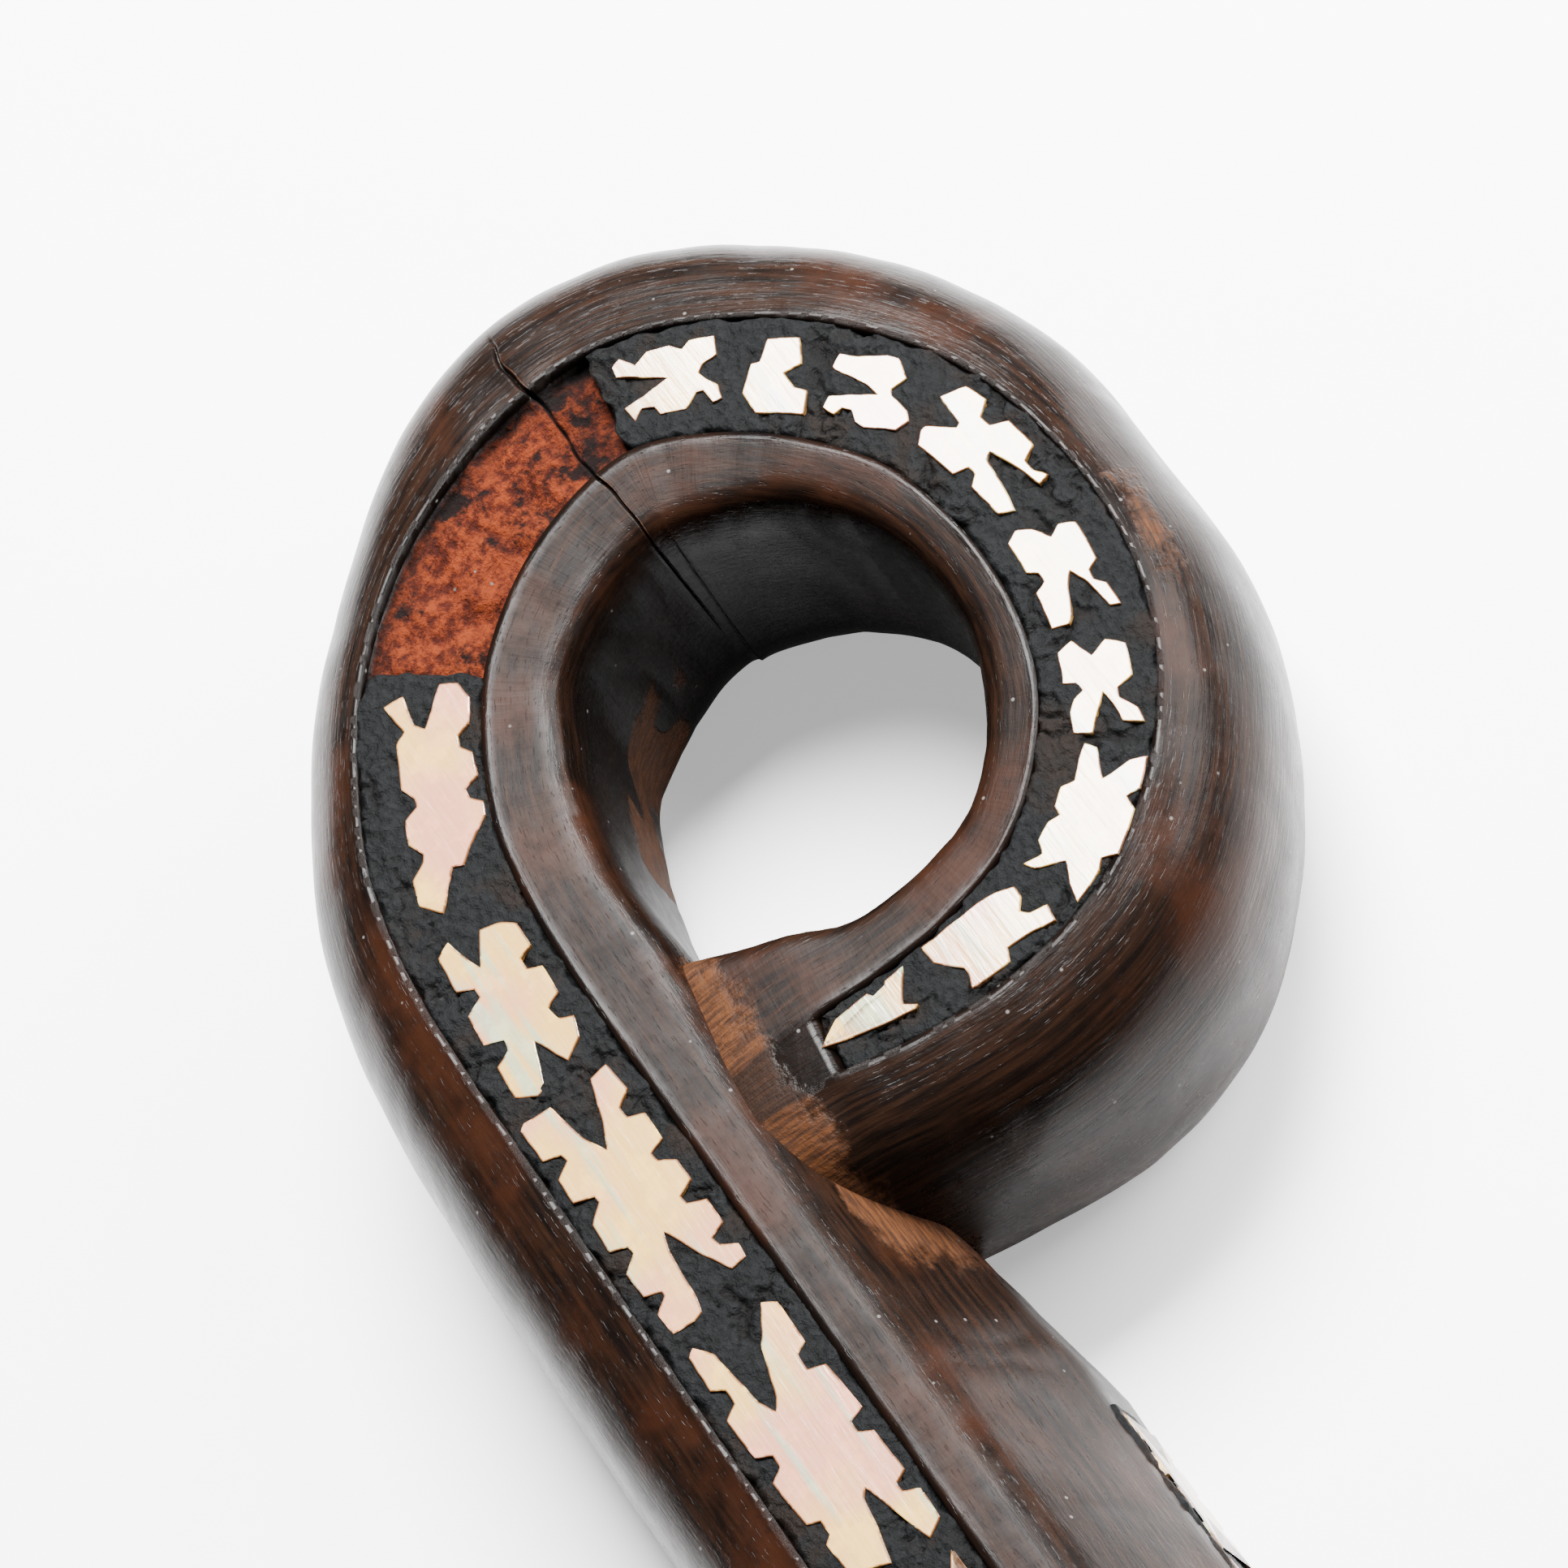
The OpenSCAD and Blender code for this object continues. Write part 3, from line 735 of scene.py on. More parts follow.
class BOWL_OT_bowl(bpy.types.Operator):
    """Turns the oval bowl: foot, outside, rim with its bed, and hollow"""

    bl_idname = "bowl.bowl"
    bl_label = "Bowl"

    def execute(self, context):
        sizes = context.scene.bowl_wood
        levels = self.smooth_levels(np.array(self.levels()))
        angle = np.linspace(0, 2 * math.pi, 301)
        points = np.stack([
            levels[:, :1] * np.cos(angle), levels[:, 1:2] * np.sin(angle), levels[:, 2:] + angle * 0,
        ], -1)
        points[:, -1] = points[:, 0]
        across = np.gradient(points, axis=1)
        across[:, 0] = across[:, -1] = points[:, 1] - points[:, -2]
        normal = unit_vectors(np.cross(across, np.gradient(points, axis=0)))
        level = np.arange(len(levels))[:, None]
        inside = level > RIM_LEVEL
        foot = soft_step(0.4, 3, points[..., 2])
        rim = soft_step(RIM_TOP - 0.5, RIM_TOP - 4, points[..., 2])
        gouges = np.abs(lumps(points / (22, 9, 9), 1.0, 2.0))
        move = -np.abs(lumps(points, 24, 6.1)) * sizes.unevenness / MM
        move -= gouges * np.where(inside, -0.1, 0.25)
        points += normal * (move * np.minimum(foot, np.where(inside, 1, rim)))[..., None]
        points[..., 2] = np.clip(points[..., 2], 0, RIM_TOP)
        height = points[..., 2]
        lip = soft_step(0.8, 0.2, np.abs(height - RIM_TOP)) * (level >= RIM_LEVEL)
        worn = soft_step(0.15, 0.6, lumps(points, 18, 7.7, 2)) * 0.55 * inside
        bm, order = grid_mesh(points)
        keep_values(bm, order, {
            "flow": points, "raw": height * 0, "worn": worn, "char": lip * 0.5,
            "tool": inside * 0.35 + height * 0,
        })
        close_up(bm)
        finish_piece("bowl_wood", bm, "rubbed_wood", "carved_body")
        return {"FINISHED"}

    @staticmethod
    def levels():
        """[half length, half width, height] up the outside, over the rim and down inside."""
        made = [
            (FOOT_LONG / 2 * t, FOOT_WIDE / 2 * t, 0.25)
            for t in np.linspace(0, 1, FOOT_LEVELS + 1)[:-1]
        ]
        high, share = np.array(SWELL).T
        for t in np.linspace(0, 1, SIDE_LEVELS):
            swell = np.interp(t, high, share)
            long = (FOOT_LONG + (BOWL_LONG - FOOT_LONG) * swell) / 2
            wide = (FOOT_WIDE + (BOWL_WIDE - FOOT_WIDE) * swell) / 2
            made.append((long, wide, RIM_TOP * t))
        bed_in, bed_out = RIM_WIDTH - RIM_BED_OUT, RIM_BED_OUT
        rim = (
            (0.5, 0), (bed_out - 0.3, 0), (bed_out, 0.1), (bed_out + 0.1, BED_DEPTH),
            (bed_in - 0.1, BED_DEPTH), (bed_in, 0.1), (bed_in + 0.3, 0), (RIM_WIDTH - 0.4, 0),
        )
        made += [(BOWL_LONG / 2 - inset, BOWL_WIDE / 2 - inset, RIM_TOP - sink) for inset, sink in rim]
        for turn in np.linspace(math.pi / 2, 0, 46):
            height = FLOOR + (RIM_TOP - FLOOR) * (1 - math.cos(turn))
            made.append((*hollow_reach(math.sin(turn)), height))
        long, wide = hollow_reach(0)
        return made + [(long * t, wide * t, FLOOR) for t in np.linspace(1, 0, 14)[1:]]

    @staticmethod
    def smooth_levels(levels):
        """Takes the corners out of the bowl's outside, below the rim."""
        eased = levels.copy()
        first, last = FOOT_LEVELS + 1, RIM_LEVEL - 5
        for _ in range(6):
            middle = (eased[:-2] + 2 * eased[1:-1] + eased[2:]) / 4
            eased[first:last] = middle[first - 1 : last - 1]
        return eased


# ---------------------------------------------------------------- putty

class BOWL_PG_inlay(bpy.types.PropertyGroup):
    """Sizes of the putty and the shell plates."""

    putty_gap: length_property("Putty Detail", "Distance between the putty's points", 0.22, 0.1)
    lump_height: length_property("Lump Height", "How lumpy the putty's face is", 0.3)
    crack_depth: length_property("Putty Crack Depth", "Depth of the cracks in the putty", 0.4)
    plate_thick: length_property("Plate Thickness", "Thickness of the shell plates", 0.9, 0.3)
    plate_edge: length_property("Plate Edge", "Rounding of the plates' edges", 0.12, 0.02)
    plate_stand: length_property("Plate Stand", "How far the plates stand above the wood", 0.16)


def putty_face(sizes, run, u, half):
    """Height of the putty's face above the wood, and its crack mask."""
    flat = np.stack([run, u, run * 0], -1)
    height = lumps(flat, 2.6, 4.0, 2) * sizes.lump_height / MM * 0.5
    height += np.abs(lumps(flat, 0.9, 11.0)) * sizes.lump_height / MM * 0.5
    warp = np.stack([lumps(flat, 1.6, 21.0), lumps(flat, 1.6, 31.0), run * 0], -1)
    cells = edge_of_cells(flat + warp * 1.3, 3.4, 2.0)
    open_here = soft_step(-0.15, 0.3, lumps(flat, 6, 51.0))
    crack = soft_step(0.085, 0.02, cells) * open_here
    height -= crack * sizes.crack_depth / MM
    edge = half + 0.15 + lumps(flat, 2.2, 61.0, 2) * 0.55
    height -= soft_step(edge - 0.35, edge + 0.3, np.abs(u)) * 0.95
    return height - 0.05, crack


def putty_slab(sizes, run, u, half, to_space):
    """A lumpy slab of putty from its face down to the bottom of its bed."""
    height, crack = putty_face(sizes, run, u, half)
    low_run, low_u = run[:, :5], half[:, :5] * np.linspace(1, -1, 5)
    top = to_space(run, u, height)
    bottom = to_space(low_run, low_u, low_u * 0 - BED_DEPTH + 0.1)
    points = np.concatenate([top, bottom, top[:, :1]], axis=1)
    cracks = np.concatenate([crack, low_u * 0, crack[:, :1]], axis=1)
    bm, order = grid_mesh(points)
    keep_values(bm, order, {"crack": cracks})
    close_up(bm)
    return bm


def band_to_space(run, u, height):
    """Places runs along the handle's band on its top face."""
    x, y = beside(run, u)
    return np.stack([x, y, TOP + height], -1)


def flank_to_space(run, u, height):
    """Places points on the stem's side, which leans in a little on its way up."""
    middle = (FLANK_LOW + FLANK_HIGH) / 2
    return np.stack([run, FLANK_Y - 0.1 * (u + 4) + height, middle + u], -1)


def rim_to_space(angle, u, height):
    """Places points on the rim, with u measured outwards from its middle."""
    x, y = oval(angle, RIM_MIDDLE - u)
    return np.stack([x, y, RIM_TOP + height], -1)


def plan_to_space(x, y, height):
    """Places points of the bowl's plan on the rim, as plates that stand less proud."""
    return np.stack([x, y, RIM_TOP + np.minimum(height, RIM_PLATE_STAND)], -1)


class BOWL_OT_putty(bpy.types.Operator):
    """Lays the putty in the handle's bed, the stem's side and the rim"""

    bl_idname = "bowl.putty"
    bl_label = "Putty"

    def execute(self, context):
        sizes = context.scene.bowl_inlay
        gap = sizes.putty_gap / MM
        stem = np.concatenate([
            np.arange(BED_START, -12, 0.6), np.arange(-12, BARE[0] + 0.01, gap)])
        curl = np.arange(BARE[1], BED_END, gap)
        for name, runs in (("putty_stem", stem), ("putty_curl", curl)):
            share = np.linspace(-1, 1, 54)
            run = runs[:, None] + share * 0
            # Both ends of a stretch break off raggedly.
            ragged = lumps(np.stack([share * 3, share * 0, share * 0 + len(runs)], -1), 1.0) * 0.8
            near_ends = soft_step(5, 0, run - runs[0]) + soft_step(5, 0, runs[-1] - run)
            run = run + ragged * near_ends
            half = station(run)[..., 5]
            bm = putty_slab(sizes, run, share * (half + 1.1), half, band_to_space)
            self.finish(name, bm)

        share = np.linspace(-1, 1, 28)
        run = np.arange(FLANK_FROM, FLANK_TO, 0.4)[:, None] + share * 0
        reach = (FLANK_HIGH - FLANK_LOW) / 2
        u = share * (reach + 0.8) + run * 0
        self.finish("putty_flank", putty_slab(sizes, run, u, reach + run * 0, flank_to_space))
        self.finish("putty_rim", self.rim_ring(sizes))
        return {"FINISHED"}

    @staticmethod
    def finish(name, bm):
        finish_piece(name, bm, "cracked_putty", name)

    @staticmethod
    def rim_ring(sizes):
        """A closed ring of putty round the oval."""
        reach = RIM_MIDDLE - RIM_BED_OUT
        share = np.linspace(-1, 1, 20)
        angle = np.linspace(0, 2 * math.pi, 1100)[:, None] + share * 0
        u = share * (reach + 0.5) + angle * 0
        x, y = oval(angle, RIM_MIDDLE - u)
        flat = np.stack([x, y, x * 0], -1)
        height = lumps(flat, 2.6, 4.0, 2) * sizes.lump_height / MM * 0.45
        crack = soft_step(0.08, 0.02, edge_of_cells(flat, 4.2, 2.0))
        height -= crack * sizes.crack_depth / MM * 0.6
        height -= soft_step(reach - 0.1, reach + 0.4, np.abs(u)) * 0.9
        under = angle[:, :5]
        low_u = np.linspace(reach, -reach, 5) + under * 0
        points = np.concatenate([
            rim_to_space(angle, u, np.minimum(height, 0.05)),
            rim_to_space(under, low_u, under * 0 - BED_DEPTH + 0.1),
        ], axis=1)
        points = np.concatenate([points, points[:, :1]], axis=1)
        points[-1] = points[0]
        cracks = np.concatenate([crack, under * 0, crack[:, :1]], axis=1)
        bm, order = grid_mesh(points)
        keep_values(bm, order, {"crack": cracks})
        close_up(bm)
        return bm


# ---------------------------------------------------------------- shell

FIRST_PLATE = (-34.4, 22.8, 4.2)  # start, length and half width of the plate by the bowl
# Corners of the plates on the handle, as (run along the band, distance outwards)
PLATES = {
    "stem_shell_2": (
        (-10, 0.2), (-8.5, 3.3), (-5.5, 3.5), (-5, 2.8), (-3.7, 2.8), (-3.3, 3.9), (1.3, 4.2), (2, 3),
        (3.1, 3), (3.8, 4.2), (7.8, 4.4), (8.6, 3.1), (9.9, 3.1), (10.6, 4.1), (14, 4), (14.6, 3.3),
        (13, 2.2), (7.5, 1.5), (6, 0.8), (7, 0.2), (11, -1), (14.3, -3), (13.5, -4.1), (9.3, -4.1),
        (8.8, -3), (7.3, -3), (6.8, -4.4), (2, -4.8), (1.6, -3.4), (0.6, -3.4), (-0.1, -4.5),
        (-4.3, -4.7), (-4.8, -3.6), (-5.6, -3.6), (-6.3, -4.9), (-9.2, -4.8), (-10.2, -3.2),
        (-6.5, -2.2), (-3.6, -1.4), (-4.2, -0.9), (-7.5, -0.4)),
    "curl_shell_1": (
        (16.3, 2), (16.5, 3.9), (18.7, 4.1), (19.6, 2.8), (20, 2.8), (20.6, 4.2), (23.1, 4.3),
        (24.2, 2.9), (24.9, 3), (25.5, 4.4), (28.3, 4.3), (29.6, 2.9), (30.2, 2.9), (30.8, 4.6),
        (33.3, 4.5), (34.2, 3.1), (34.9, 3.2), (35.4, 4.7), (38.8, 4.7), (39.2, 4.2), (39, 1.7),
        (35, 1), (32.9, 0), (35, -0.9), (38.9, -2.1), (39.1, -3.8), (36.2, -4.1), (35.2, -2.7),
        (34.2, -2.8), (33.6, -4.1), (30.8, -4.1), (30.3, -2.7), (29.5, -2.8), (28.6, -4.1),
        (26.4, -4.1), (25.8, -2.6), (25, -2.7), (24.3, -4.2), (21.8, -4.2), (21.2, -2.8), (20.4, -3),
        (19.5, -4.2), (18.2, -4.1), (18, -2.7), (20.5, -1.4), (24.1, 0), (22.5, 0.5), (18, 0.8),
        (16.6, 1.1)),
    "curl_shell_2": (
        (40.4, 2), (41.5, 3.6), (44.7, 3.4), (45.3, 1.9), (46.3, 1.7), (46.9, 3.3), (49.9, 3.1),
        (50.7, 1.5), (51.5, 1.5), (52.2, 2.9), (55.6, 2.8), (56.4, 1.5), (54.5, 0.9), (52.9, 0.2),
        (54.5, -0.5), (55.9, -1.2), (55.5, -3), (54.6, -4.1), (52, -4.2), (51.5, -2.9), (50.4, -2.9),
        (49.8, -4.1), (46.9, -4), (46.3, -2.6), (45, -2.8), (44.4, -4), (42.5, -3.4), (41.3, -1.5),
        (44.6, -0.2), (43, 0.3), (40.6, 1.2)),
    "curl_shell_3": (
        (58.8, 0.8), (60.4, 2.4), (62.7, 2.2), (63.8, 0.9), (64.4, 0.7), (65.6, 1.7), (67.8, 1.6),
        (68.7, 0.5), (69.4, 0.6), (70.4, 1.6), (74.5, 1.9), (75.5, 1.2), (77.8, 3.1), (78.6, 1.4),
        (76, 0.3), (75.5, -0.6), (77, -1.1), (79.5, -1.6), (79.6, -3.2), (78, -4.4), (75.3, -4.4),
        (74.3, -3.4), (73.3, -3.6), (72.6, -4.6), (70.2, -4.9), (69.2, -3.8), (68.2, -4),
        (67.6, -5.1), (66, -5.1), (64.5, -4), (62, -2.2), (62.3, -1.3), (60.8, -0.4)),
    "curl_shell_4": (
        (110.1, 2.6), (110.8, 3.2), (111.8, 2.1), (112.8, 3.1), (114.5, 3.2), (115.5, 2.7),
        (116, 3.4), (118, 3.6), (118.3, 1.8), (117.2, 1), (116.9, 0.3), (117.6, -0.3), (118.6, -0.9),
        (119.2, -2.2), (118.3, -2.6), (117.4, -1.4), (116.8, -1.5), (115.9, -2.9), (113.4, -3),
        (112.9, -2.2), (111.7, -2), (110.8, -3), (110, -1.4), (112, -0.9), (114.2, 0.2),
        (112.2, 0.8), (110.2, 1.6)),
    "curl_shell_5": (
        (121.9, 1.1), (122.2, 3.2), (124.7, 3.5), (125.5, 1.2), (124.2, 0.2), (125.5, -0.9),
        (126.7, -1), (127.2, -3.2), (122.5, -3.6), (120.9, -1.8), (121.2, 0.9)),
    "curl_shell_6": (
        (128, 1.4), (128.2, 2.7), (129.8, 2.8), (132, 3.6), (133, 3.6), (134.3, 2.2), (133.6, 0.9),
        (133.9, 0.4), (135.8, -0.3), (136.5, -1), (135.9, -2.2), (133, -3), (132, -2.8),
        (131.2, -1.9), (130.3, -1.9), (129.8, -2.6), (128.6, -2.3), (128.7, -1.1), (132.7, 0.1),
        (131.5, 0.6), (128.3, 1.2)),
    "curl_shell_7": (
        (138, 1.7), (137.4, 2), (138.6, 3.9), (140.6, 4), (141.3, 2.5), (142.3, 2.5), (143.2, 3.8),
        (146.2, 3.7), (146.8, 2.3), (147.8, 2.3), (149, 3), (149.2, 1.9), (146, 1.3), (144.1, 0.8),
        (144.4, 0.2), (147, -0.3), (149.8, -0.9), (149.1, -2.2), (145.3, -2.3), (144.6, -1.3),
        (143.8, -1.3), (143.2, -2.6), (138.6, -2.4), (137.9, -1.2), (138, -0.7), (140.3, 0.6),
        (140.2, 1)),
    "curl_shell_8": (
        (152.9, 1.2), (153.6, 2.5), (157.3, 2.5), (157.9, 1.6), (158.7, 1.6), (159.4, 2.5),
        (161.6, 3), (161.4, 2.1), (158.5, 0.9), (157.2, 0.1), (158.5, -0.5), (161, -1), (161.7, -1.4),
        (161.6, -2.9), (157.6, -3.1), (157, -2.1), (156, -2.2), (155.4, -3), (151.9, -3),
        (151.2, -1.9), (152, -0.7), (153.6, 0.2)),
    "curl_shell_9": (
        (163.9, 1.1), (164.7, 2.7), (167.3, 2.9), (168.2, 1.7), (168.9, 1.8), (169.8, 3.4), (171, 4),
        (170.9, 2.2), (169.3, 1.2), (168.4, 0.5), (170, 0.1), (171.9, -0.1), (171.9, -1.7),
        (169.9, -2.2), (168.7, -1.9), (168, -1.2), (167.3, -1.7), (167.2, -2.8), (164, -2.9),
        (163.2, -1.6), (165, -0.2)),
    "curl_shell_10": (
        (173.9, 3.2), (173.5, 4.6), (176, 4.6), (176.7, 3.7), (177.5, 4.6), (180.8, 4.7),
        (181.4, 3.6), (182.2, 3.9), (184.8, 3.8), (184, 2.3), (182.6, 1), (183.2, 0.2),
        (184.3, -0.9), (184.4, -2), (182.8, -1.1), (181.9, -2), (180, -1.9), (179.2, -1.2),
        (178.6, -1.9), (176.7, -1.9), (176, -0.9), (174.2, -1), (172.7, -0.7), (173, 0.4),
        (175.6, 1.3), (175, 2)),
    "curl_shell_11": (
        (186, 1.8), (186.6, 3.3), (188.7, 2.3), (190.4, 1.9), (191, 2.9), (194.3, 2.6), (193.9, 1.5),
        (193.8, 0.7), (195.5, -1.2), (195.6, -3), (192.7, -3.1), (189.4, -2.8), (187.6, -2.2),
        (186.4, -1.4), (186.7, -0.4), (187.7, 0.4), (187.3, 1.1)),
    "curl_shell_12": (
        (197.6, -2.6), (198.8, -0.6), (199.2, 0.2), (198.2, 0.9), (198.5, 1.2), (201, 0.9),
        (204.5, 0.5), (206.5, 0.1), (204.5, -1.6), (201.3, -2.3), (201, -1.8), (200, -1.6),
        (199.5, -2.4)),
}
# Tone of each plate: below 0 is greener, above 0 is pinker
HUES = {
    "stem_shell_1": 0.02, "stem_shell_2": 0.08, "curl_shell_1": 0.03, "curl_shell_2": -0.04,
    "curl_shell_3": 0.14, "curl_shell_6": 0.05, "curl_shell_11": 0.02, "curl_shell_12": -0.16,
}


def plain_outline(long, half):
    """A whole plate: small notches along both sides and a forked notch in each end."""
    count = max(1, round(long / 5))
    edge = [(0, half)]
    for k in range(1, count + 1):
        middle = long * k / (count + 1)
        edge += [
            (middle - 0.7, half), (middle - 0.3, half - NOTCH),
            (middle + 0.3, half - NOTCH), (middle + 0.7, half),
        ]
    edge.append((long, half))
    fork = min(0.3 * long, FORK)
    other = [(run, -u) for run, u in reversed(edge)]
    return [*edge, (long - fork, 0.2), *other, (fork, -0.2)]


def hand_cut(outline, seed):
    """The outline with its long sides broken up, corners eased and edges wavering."""
    corners = np.array(outline, float)
    fine = []
    for here, after in zip(corners, np.roll(corners, -1, axis=0)):
        steps = max(1, math.ceil(np.linalg.norm(after - here) / 0.35))
        fine += [here + (after - here) * k / steps for k in range(steps)]
    fine = np.array(fine)
    eased = 0.84 * fine + 0.08 * (np.roll(fine, 1, axis=0) + np.roll(fine, -1, axis=0))
    deep = np.column_stack([eased, np.full(len(eased), seed * 7.3)])
    waver = np.stack([lumps(deep, 1.1, 3.0), lumps(deep, 1.1, 13.0)], -1)
    return eased + waver * 0.06


def plate_mesh(sizes, outline, to_space, seed, hue):
    """A flat plate with eased edges. Its rim mask is 1 at the very edge."""
    thick, edge = sizes.plate_thick / MM, sizes.plate_edge / MM
    cut = hand_cut(outline, seed)
    lean = [math.sin(seed * 12.9) * 0.006, math.sin(seed * 7.7) * 0.012]
    middle = cut.mean(axis=0)
    height = (cut - middle) @ np.array(lean) + sizes.plate_stand / MM
    top = to_space(cut[:, 0], cut[:, 1], height)
    low = to_space(cut[:, 0], cut[:, 1], height - thick)
    bm = bmesh.new()
    base = bm.faces.new([bm.verts.new(Vector(p) * MM) for p in low])
    made = bmesh.ops.extrude_face_region(bm, geom=[base])["geom"]
    cap = next(item for item in made if isinstance(item, bmesh.types.BMFace))
    lift = Vector(top.mean(axis=0) - low.mean(axis=0)) * MM
    bmesh.ops.translate(bm, verts=cap.verts[:], vec=lift)
    outer = cap.edges[:]
    bmesh.ops.inset_region(bm, faces=[cap], thickness=0.2 * MM)
    bmesh.ops.bevel(
        bm, geom=outer, offset=edge * MM, offset_type="OFFSET", segments=2, profile=0.5,
        affect="EDGES", material=-1, clamp_overlap=True)
    hue_layer = bm.verts.layers.float.new("hue")
    rim_layer = bm.verts.layers.float.new("rim")
    closed = np.vstack([top, top[:1]])
    starts, spans = closed[:-1], np.diff(closed, axis=0)
    for vert in bm.verts:
        vert[hue_layer] = hue
        away = np.array(vert.co) / MM - starts
        share = np.clip((away * spans).sum(1) / ((spans**2).sum(1) + 1e-9), 0, 1)
        gap = np.linalg.norm(away - spans * share[:, None], axis=1).min()
        vert[rim_layer] = float(soft_step(0.25, 0.08, gap))
    close_up(bm, 0.0002)
    return bm


class BOWL_OT_handle_shell(bpy.types.Operator):
    """Sets the shell plates along the handle's top and the stem's side"""

    bl_idname = "bowl.handle_shell"
    bl_label = "Handle Shell"

    def execute(self, context):
        sizes = context.scene.bowl_inlay
        start, long, half = FIRST_PLATE
        plates = dict(PLATES)
        plates["stem_shell_1"] = [(run + start, u) for run, u in plain_outline(long, half)]
        for k, (name, outline) in enumerate(plates.items()):
            bm = plate_mesh(sizes, outline, band_to_space, k + 1, HUES.get(name, 0.0))
            self.finish(name, bm)
        pitch = (FLANK_TO - FLANK_FROM - PLATE_MARGIN) / 2
        half = (FLANK_HIGH - FLANK_LOW) / 2 - PLATE_MARGIN
        for k in range(2):
            start = FLANK_FROM + PLATE_MARGIN + k * pitch
            outline = [(run + start, u) for run, u in plain_outline(pitch - PLATE_MARGIN, half)]
            bm = plate_mesh(sizes, outline, flank_to_space, k + 21, 0.0)
            self.finish(f"flank_shell_{k + 1}", bm)
        return {"FINISHED"}

    @staticmethod
    def finish(name, bm):
        finish_piece(name, bm, "polished_shell", name, flat=True)


class BOWL_OT_rim_shell(bpy.types.Operator):
    """Sets the ring of shell plates in the rim"""

    bl_idname = "bowl.rim_shell"
    bl_label = "Rim Shell"

    count: bpy.props.IntProperty(name="Count", description="Plates round the rim", default=22, min=4)

    def execute(self, context):
        sizes = context.scene.bowl_inlay
        half = RIM_MIDDLE - RIM_BED_OUT - PLATE_MARGIN
        mid_long, mid_wide = BOWL_LONG / 2 - RIM_MIDDLE, BOWL_WIDE / 2 - RIM_MIDDLE
        pitch = 2 * math.pi / self.count
        for k in range(1, self.count + 1):
            middle = k * pitch
            per_mm = 1 / math.hypot(mid_long * math.sin(middle), mid_wide * math.cos(middle))
            long = pitch / per_mm - PLATE_GAP
            cut = hand_cut(plain_outline(long, half), k + 40)
            angle = middle + (cut[:, 0] - long / 2) * per_mm
            plan = np.stack(oval(angle, RIM_MIDDLE - cut[:, 1]), -1)
            hue = 0.05 * math.sin(k * 2.1)
            bm = plate_mesh(sizes, plan, plan_to_space, k + 60, hue)
            BOWL_OT_handle_shell.finish(f"rim_shell_{k}", bm)
        return {"FINISHED"}


# ---------------------------------------------------------------- looks and stage

CAMERA_AWAY = 0.6  # from the curl's eye, in metres


def colour_property(name, description, default):
    return bpy.props.FloatVectorProperty(
        name=name, description=description, size=4, subtype="COLOR", min=0, max=1, default=(*default, 1))


class BOWL_PG_look(bpy.types.PropertyGroup):
    """Colours and gloss."""

    wood_dark: colour_property("Dark Wood", "Darkest streaks of the wood", (0.0022, 0.0013, 0.0010))
    wood_brown: colour_property("Brown Wood", "Lighter streaks of the wood", (0.0105, 0.0046, 0.0025))
    wood_red: colour_property("Red Wood", "Reddish patches in the wood", (0.0145, 0.0050, 0.0024))
    # Both rubbed-wood colours also paint the highlight along the curl's outer shoulder.
    worn_and_highlight_brown: colour_property("Worn Brown", "Darker fibres of rubbed wood", (0.0180, 0.0070, 0.0030))
    worn_and_highlight_orange: colour_property("Worn Orange", "Lighter fibres of rubbed wood", (0.0460, 0.0165, 0.0055))
    raw_red: colour_property("Raw Red", "Darker crumbs in the bare bed", (0.0250, 0.0036, 0.0015))
    raw_orange: colour_property("Raw Orange", "Lighter crumbs in the bare bed", (0.1050, 0.0180, 0.0045))
    raw_stain: colour_property("Raw Stain", "Dark stains in the bare bed", (0.0045, 0.0014, 0.0011))
    # Also the painted shade on the hole's wall and along the bare bed's outer edge.
    char: colour_property("Black", "Pores, cracks and blackened edges", (0.0011, 0.0009, 0.0008))
    dust: colour_property("Dust", "Specks of dust", (0.12, 0.115, 0.11))
    putty_black: colour_property("Putty Black", "Darkest putty", (0.0013, 0.0014, 0.0015))
    putty_grey: colour_property("Putty Grey", "Lightest putty", (0.0042, 0.0046, 0.0049))
    putty_brown: colour_property("Putty Brown", "Brown stains on the putty", (0.0060, 0.0034, 0.0021))
    shell_cream: colour_property("Shell Cream", "Main colour of the shell", (0.460, 0.275, 0.070))
    shell_pink: colour_property("Shell Pink", "Pink drifts in the shell", (0.420, 0.180, 0.110))
    shell_green: colour_property("Shell Green", "Green drifts in the shell", (0.190, 0.290, 0.205))
    shell_edge: colour_property("Shell Edge", "Stained edges of the plates", (0.085, 0.030, 0.008))
    wood_gloss: bpy.props.FloatProperty(
        name="Wood Roughness", description="Roughness of the rubbed wood", default=0.26, min=0, max=1,
        subtype="FACTOR")


class BOWL_OT_looks(bpy.types.Operator):
    """Makes the wood, putty and shell materials"""

    bl_idname = "bowl.looks"
    bl_label = "Materials"

    def execute(self, context):
        look = context.scene.bowl_look
        pores_group()
        dust_group()
        wood_material(look)
        putty_material(look)
        shell_material(look)
        return {"FINISHED"}


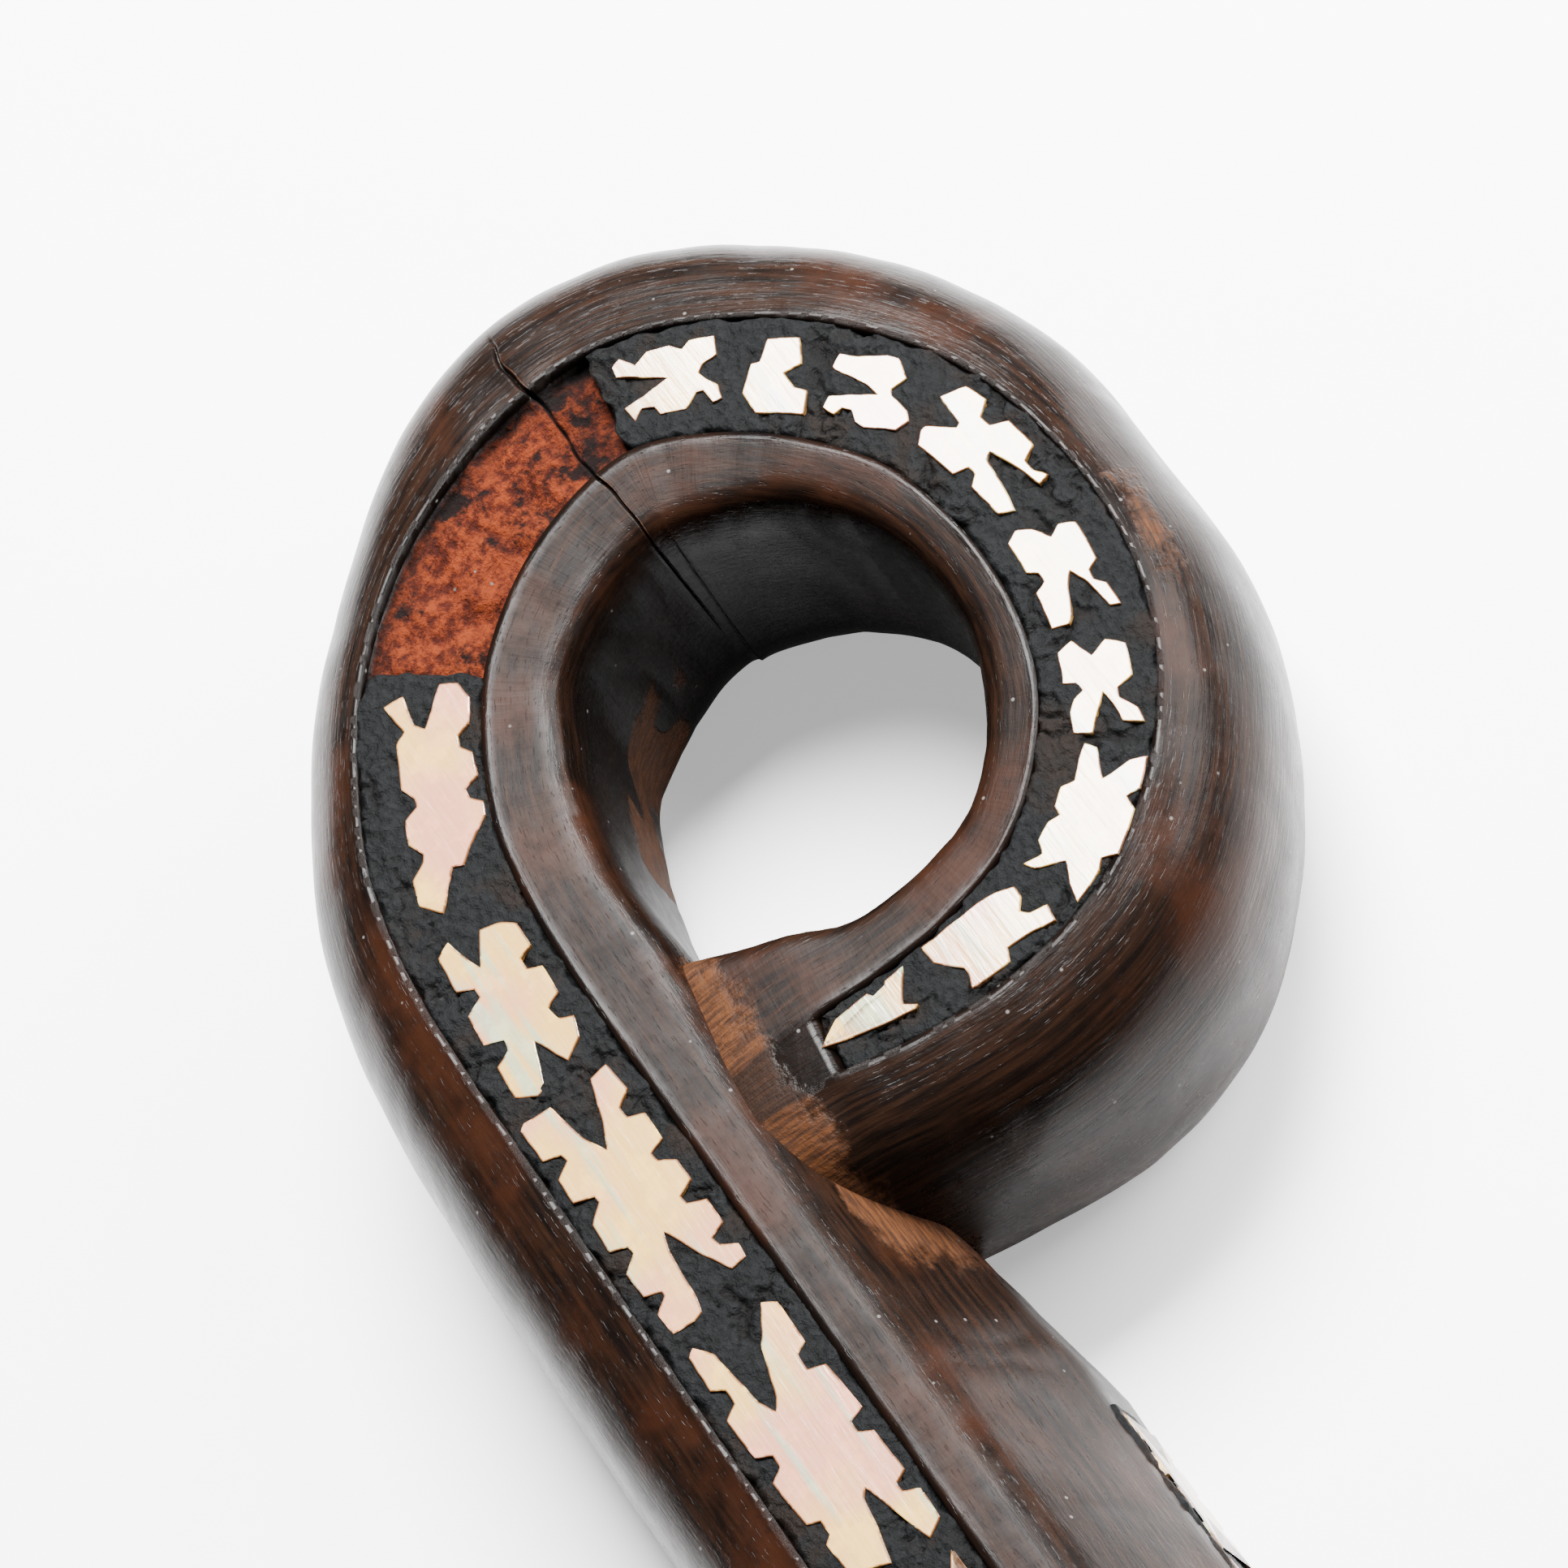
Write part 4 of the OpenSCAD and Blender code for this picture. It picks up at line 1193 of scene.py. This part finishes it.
class BOWL_PG_stage(bpy.types.PropertyGroup):
    """The pale floor, the light and the camera."""

    floor_size: bpy.props.FloatProperty(
        name="Floor Size", description="Width of the floor", default=4.0, min=0.5, unit="LENGTH")
    box_power: bpy.props.FloatProperty(
        name="Softbox Power", description="Power of the large soft light overhead", default=85.0, min=0)
    side_power: bpy.props.FloatProperty(
        name="Side Power", description="Power of the soft light on the right", default=22.0, min=0)
    sky: bpy.props.FloatProperty(
        name="Sky", description="Strength of the even light all round", default=0.15, min=0)
    lens: bpy.props.FloatProperty(
        name="Lens", description="Focal length in millimetres", default=174.4, min=10)
    roll: bpy.props.FloatProperty(
        name="Roll", description="Turn of the camera about its own view", default=math.radians(36.4),
        subtype="ANGLE")
    pitch: bpy.props.FloatProperty(
        name="Pitch", description="Angle of the view below level", default=math.radians(60),
        subtype="ANGLE")


class BOWL_OT_stage(bpy.types.Operator):
    """Lays the floor, hangs the lights and sets the camera over the curl"""

    bl_idname = "bowl.stage"
    bl_label = "Stage"

    def execute(self, context):
        stage = context.scene.bowl_stage
        scene = context.scene
        bm = bmesh.new()
        bmesh.ops.create_grid(bm, x_segments=2, y_segments=2, size=stage.floor_size / 2)
        mesh = bpy.data.meshes.new("floor")
        bm.to_mesh(mesh)
        bm.free()
        floor = bpy.data.objects.new("floor", mesh)
        floor.location.z = -0.0002
        floor_material()
        mesh.materials.append(bpy.data.materials["studio_floor"])
        scene.collection.objects.link(floor)

        world = bpy.data.worlds.new("studio")
        world.use_nodes = True
        back = world.node_tree.nodes["Background"]
        back.inputs["Color"].default_value = (0.96, 0.98, 1.0, 1)
        back.inputs["Strength"].default_value = stage.sky
        scene.world = world

        eye = Vector((EYE[0], EYE[1], TOP)) * MM
        down = eye + Vector((-0.4, 0.2575, 0))
        above, beside_it = down + Vector((0, 0, 0.7)), eye + Vector((0, 0.75, 0.5))
        self.softbox(scene, "softbox", (0.5, 0.485), stage.box_power, above, down)
        self.softbox(scene, "sidebox", (0.6, 0.5), stage.side_power, beside_it, eye)

        look = Vector((-math.cos(stage.pitch), 0, -math.sin(stage.pitch)))
        right = Vector((0, 1, 0))
        up = Vector((-math.sin(stage.pitch), 0, math.cos(stage.pitch)))
        turned_right = right * math.cos(stage.roll) - up * math.sin(stage.roll)
        turned_up = right * math.sin(stage.roll) + up * math.cos(stage.roll)
        view = bpy.data.cameras.new("camera")
        view.lens, view.sensor_width = stage.lens, 36.0
        camera = bpy.data.objects.new("camera", view)
        turn = Matrix((turned_right, turned_up, -look)).transposed()
        camera.matrix_world = Matrix.Translation(eye - look * CAMERA_AWAY) @ turn.to_4x4()
        scene.collection.objects.link(camera)
        scene.camera = camera
        return {"FINISHED"}

    @staticmethod
    def softbox(scene, name, size, power, place, target):
        lamp = bpy.data.lights.new(name, "AREA")
        lamp.shape, lamp.size, lamp.size_y, lamp.energy = "RECTANGLE", *size, power
        box = bpy.data.objects.new(name, lamp)
        box.location = place
        box.rotation_euler = (target - place).to_track_quat("-Z", "Y").to_euler()
        scene.collection.objects.link(box)


class BOWL_PT_panel(bpy.types.Panel):
    """Buttons that build the bowl, piece by piece."""

    bl_label = "Shell Inlaid Bowl"
    bl_idname = "BOWL_PT_panel"
    bl_space_type = "VIEW_3D"
    bl_region_type = "UI"
    bl_category = "Bowl"

    def draw(self, context):
        for step in STEPS:
            self.layout.operator(step.bl_idname)
        for owner, names in (
            (context.scene.bowl_wood, ("ring_gap", "unevenness", "rough_depth", "crack_depth")),
            (context.scene.bowl_inlay,
             ("lump_height", "crack_depth", "plate_thick", "plate_edge", "plate_stand")),
            (context.scene.bowl_look, ("wood_dark", "wood_brown", "wood_red", "wood_gloss")),
            (context.scene.bowl_stage, ("box_power", "sky", "lens", "roll", "pitch")),
        ):
            for name in names:
                self.layout.prop(owner, name)


STEPS = (
    BOWL_OT_looks, BOWL_OT_limb, BOWL_OT_bowl, BOWL_OT_putty, BOWL_OT_handle_shell, BOWL_OT_rim_shell,
    BOWL_OT_stage,
)
GROUPS = {
    "bowl_wood": BOWL_PG_wood, "bowl_inlay": BOWL_PG_inlay, "bowl_look": BOWL_PG_look,
    "bowl_stage": BOWL_PG_stage,
}


def register():
    for name, group in GROUPS.items():
        bpy.utils.register_class(group)
        setattr(bpy.types.Scene, name, bpy.props.PointerProperty(type=group))
    for made in (*STEPS, BOWL_PT_panel):
        bpy.utils.register_class(made)


def unregister():
    for made in reversed((*STEPS, BOWL_PT_panel)):
        bpy.utils.unregister_class(made)
    for name, group in reversed(tuple(GROUPS.items())):
        delattr(bpy.types.Scene, name)
        bpy.utils.unregister_class(group)


def main():
    register()
    bpy.ops.bowl.looks()
    bpy.ops.bowl.limb()
    bpy.ops.bowl.bowl()
    bpy.ops.bowl.putty()
    bpy.ops.bowl.handle_shell()
    bpy.ops.bowl.rim_shell()
    bpy.ops.bowl.stage()


if __name__ == "__main__":
    main()
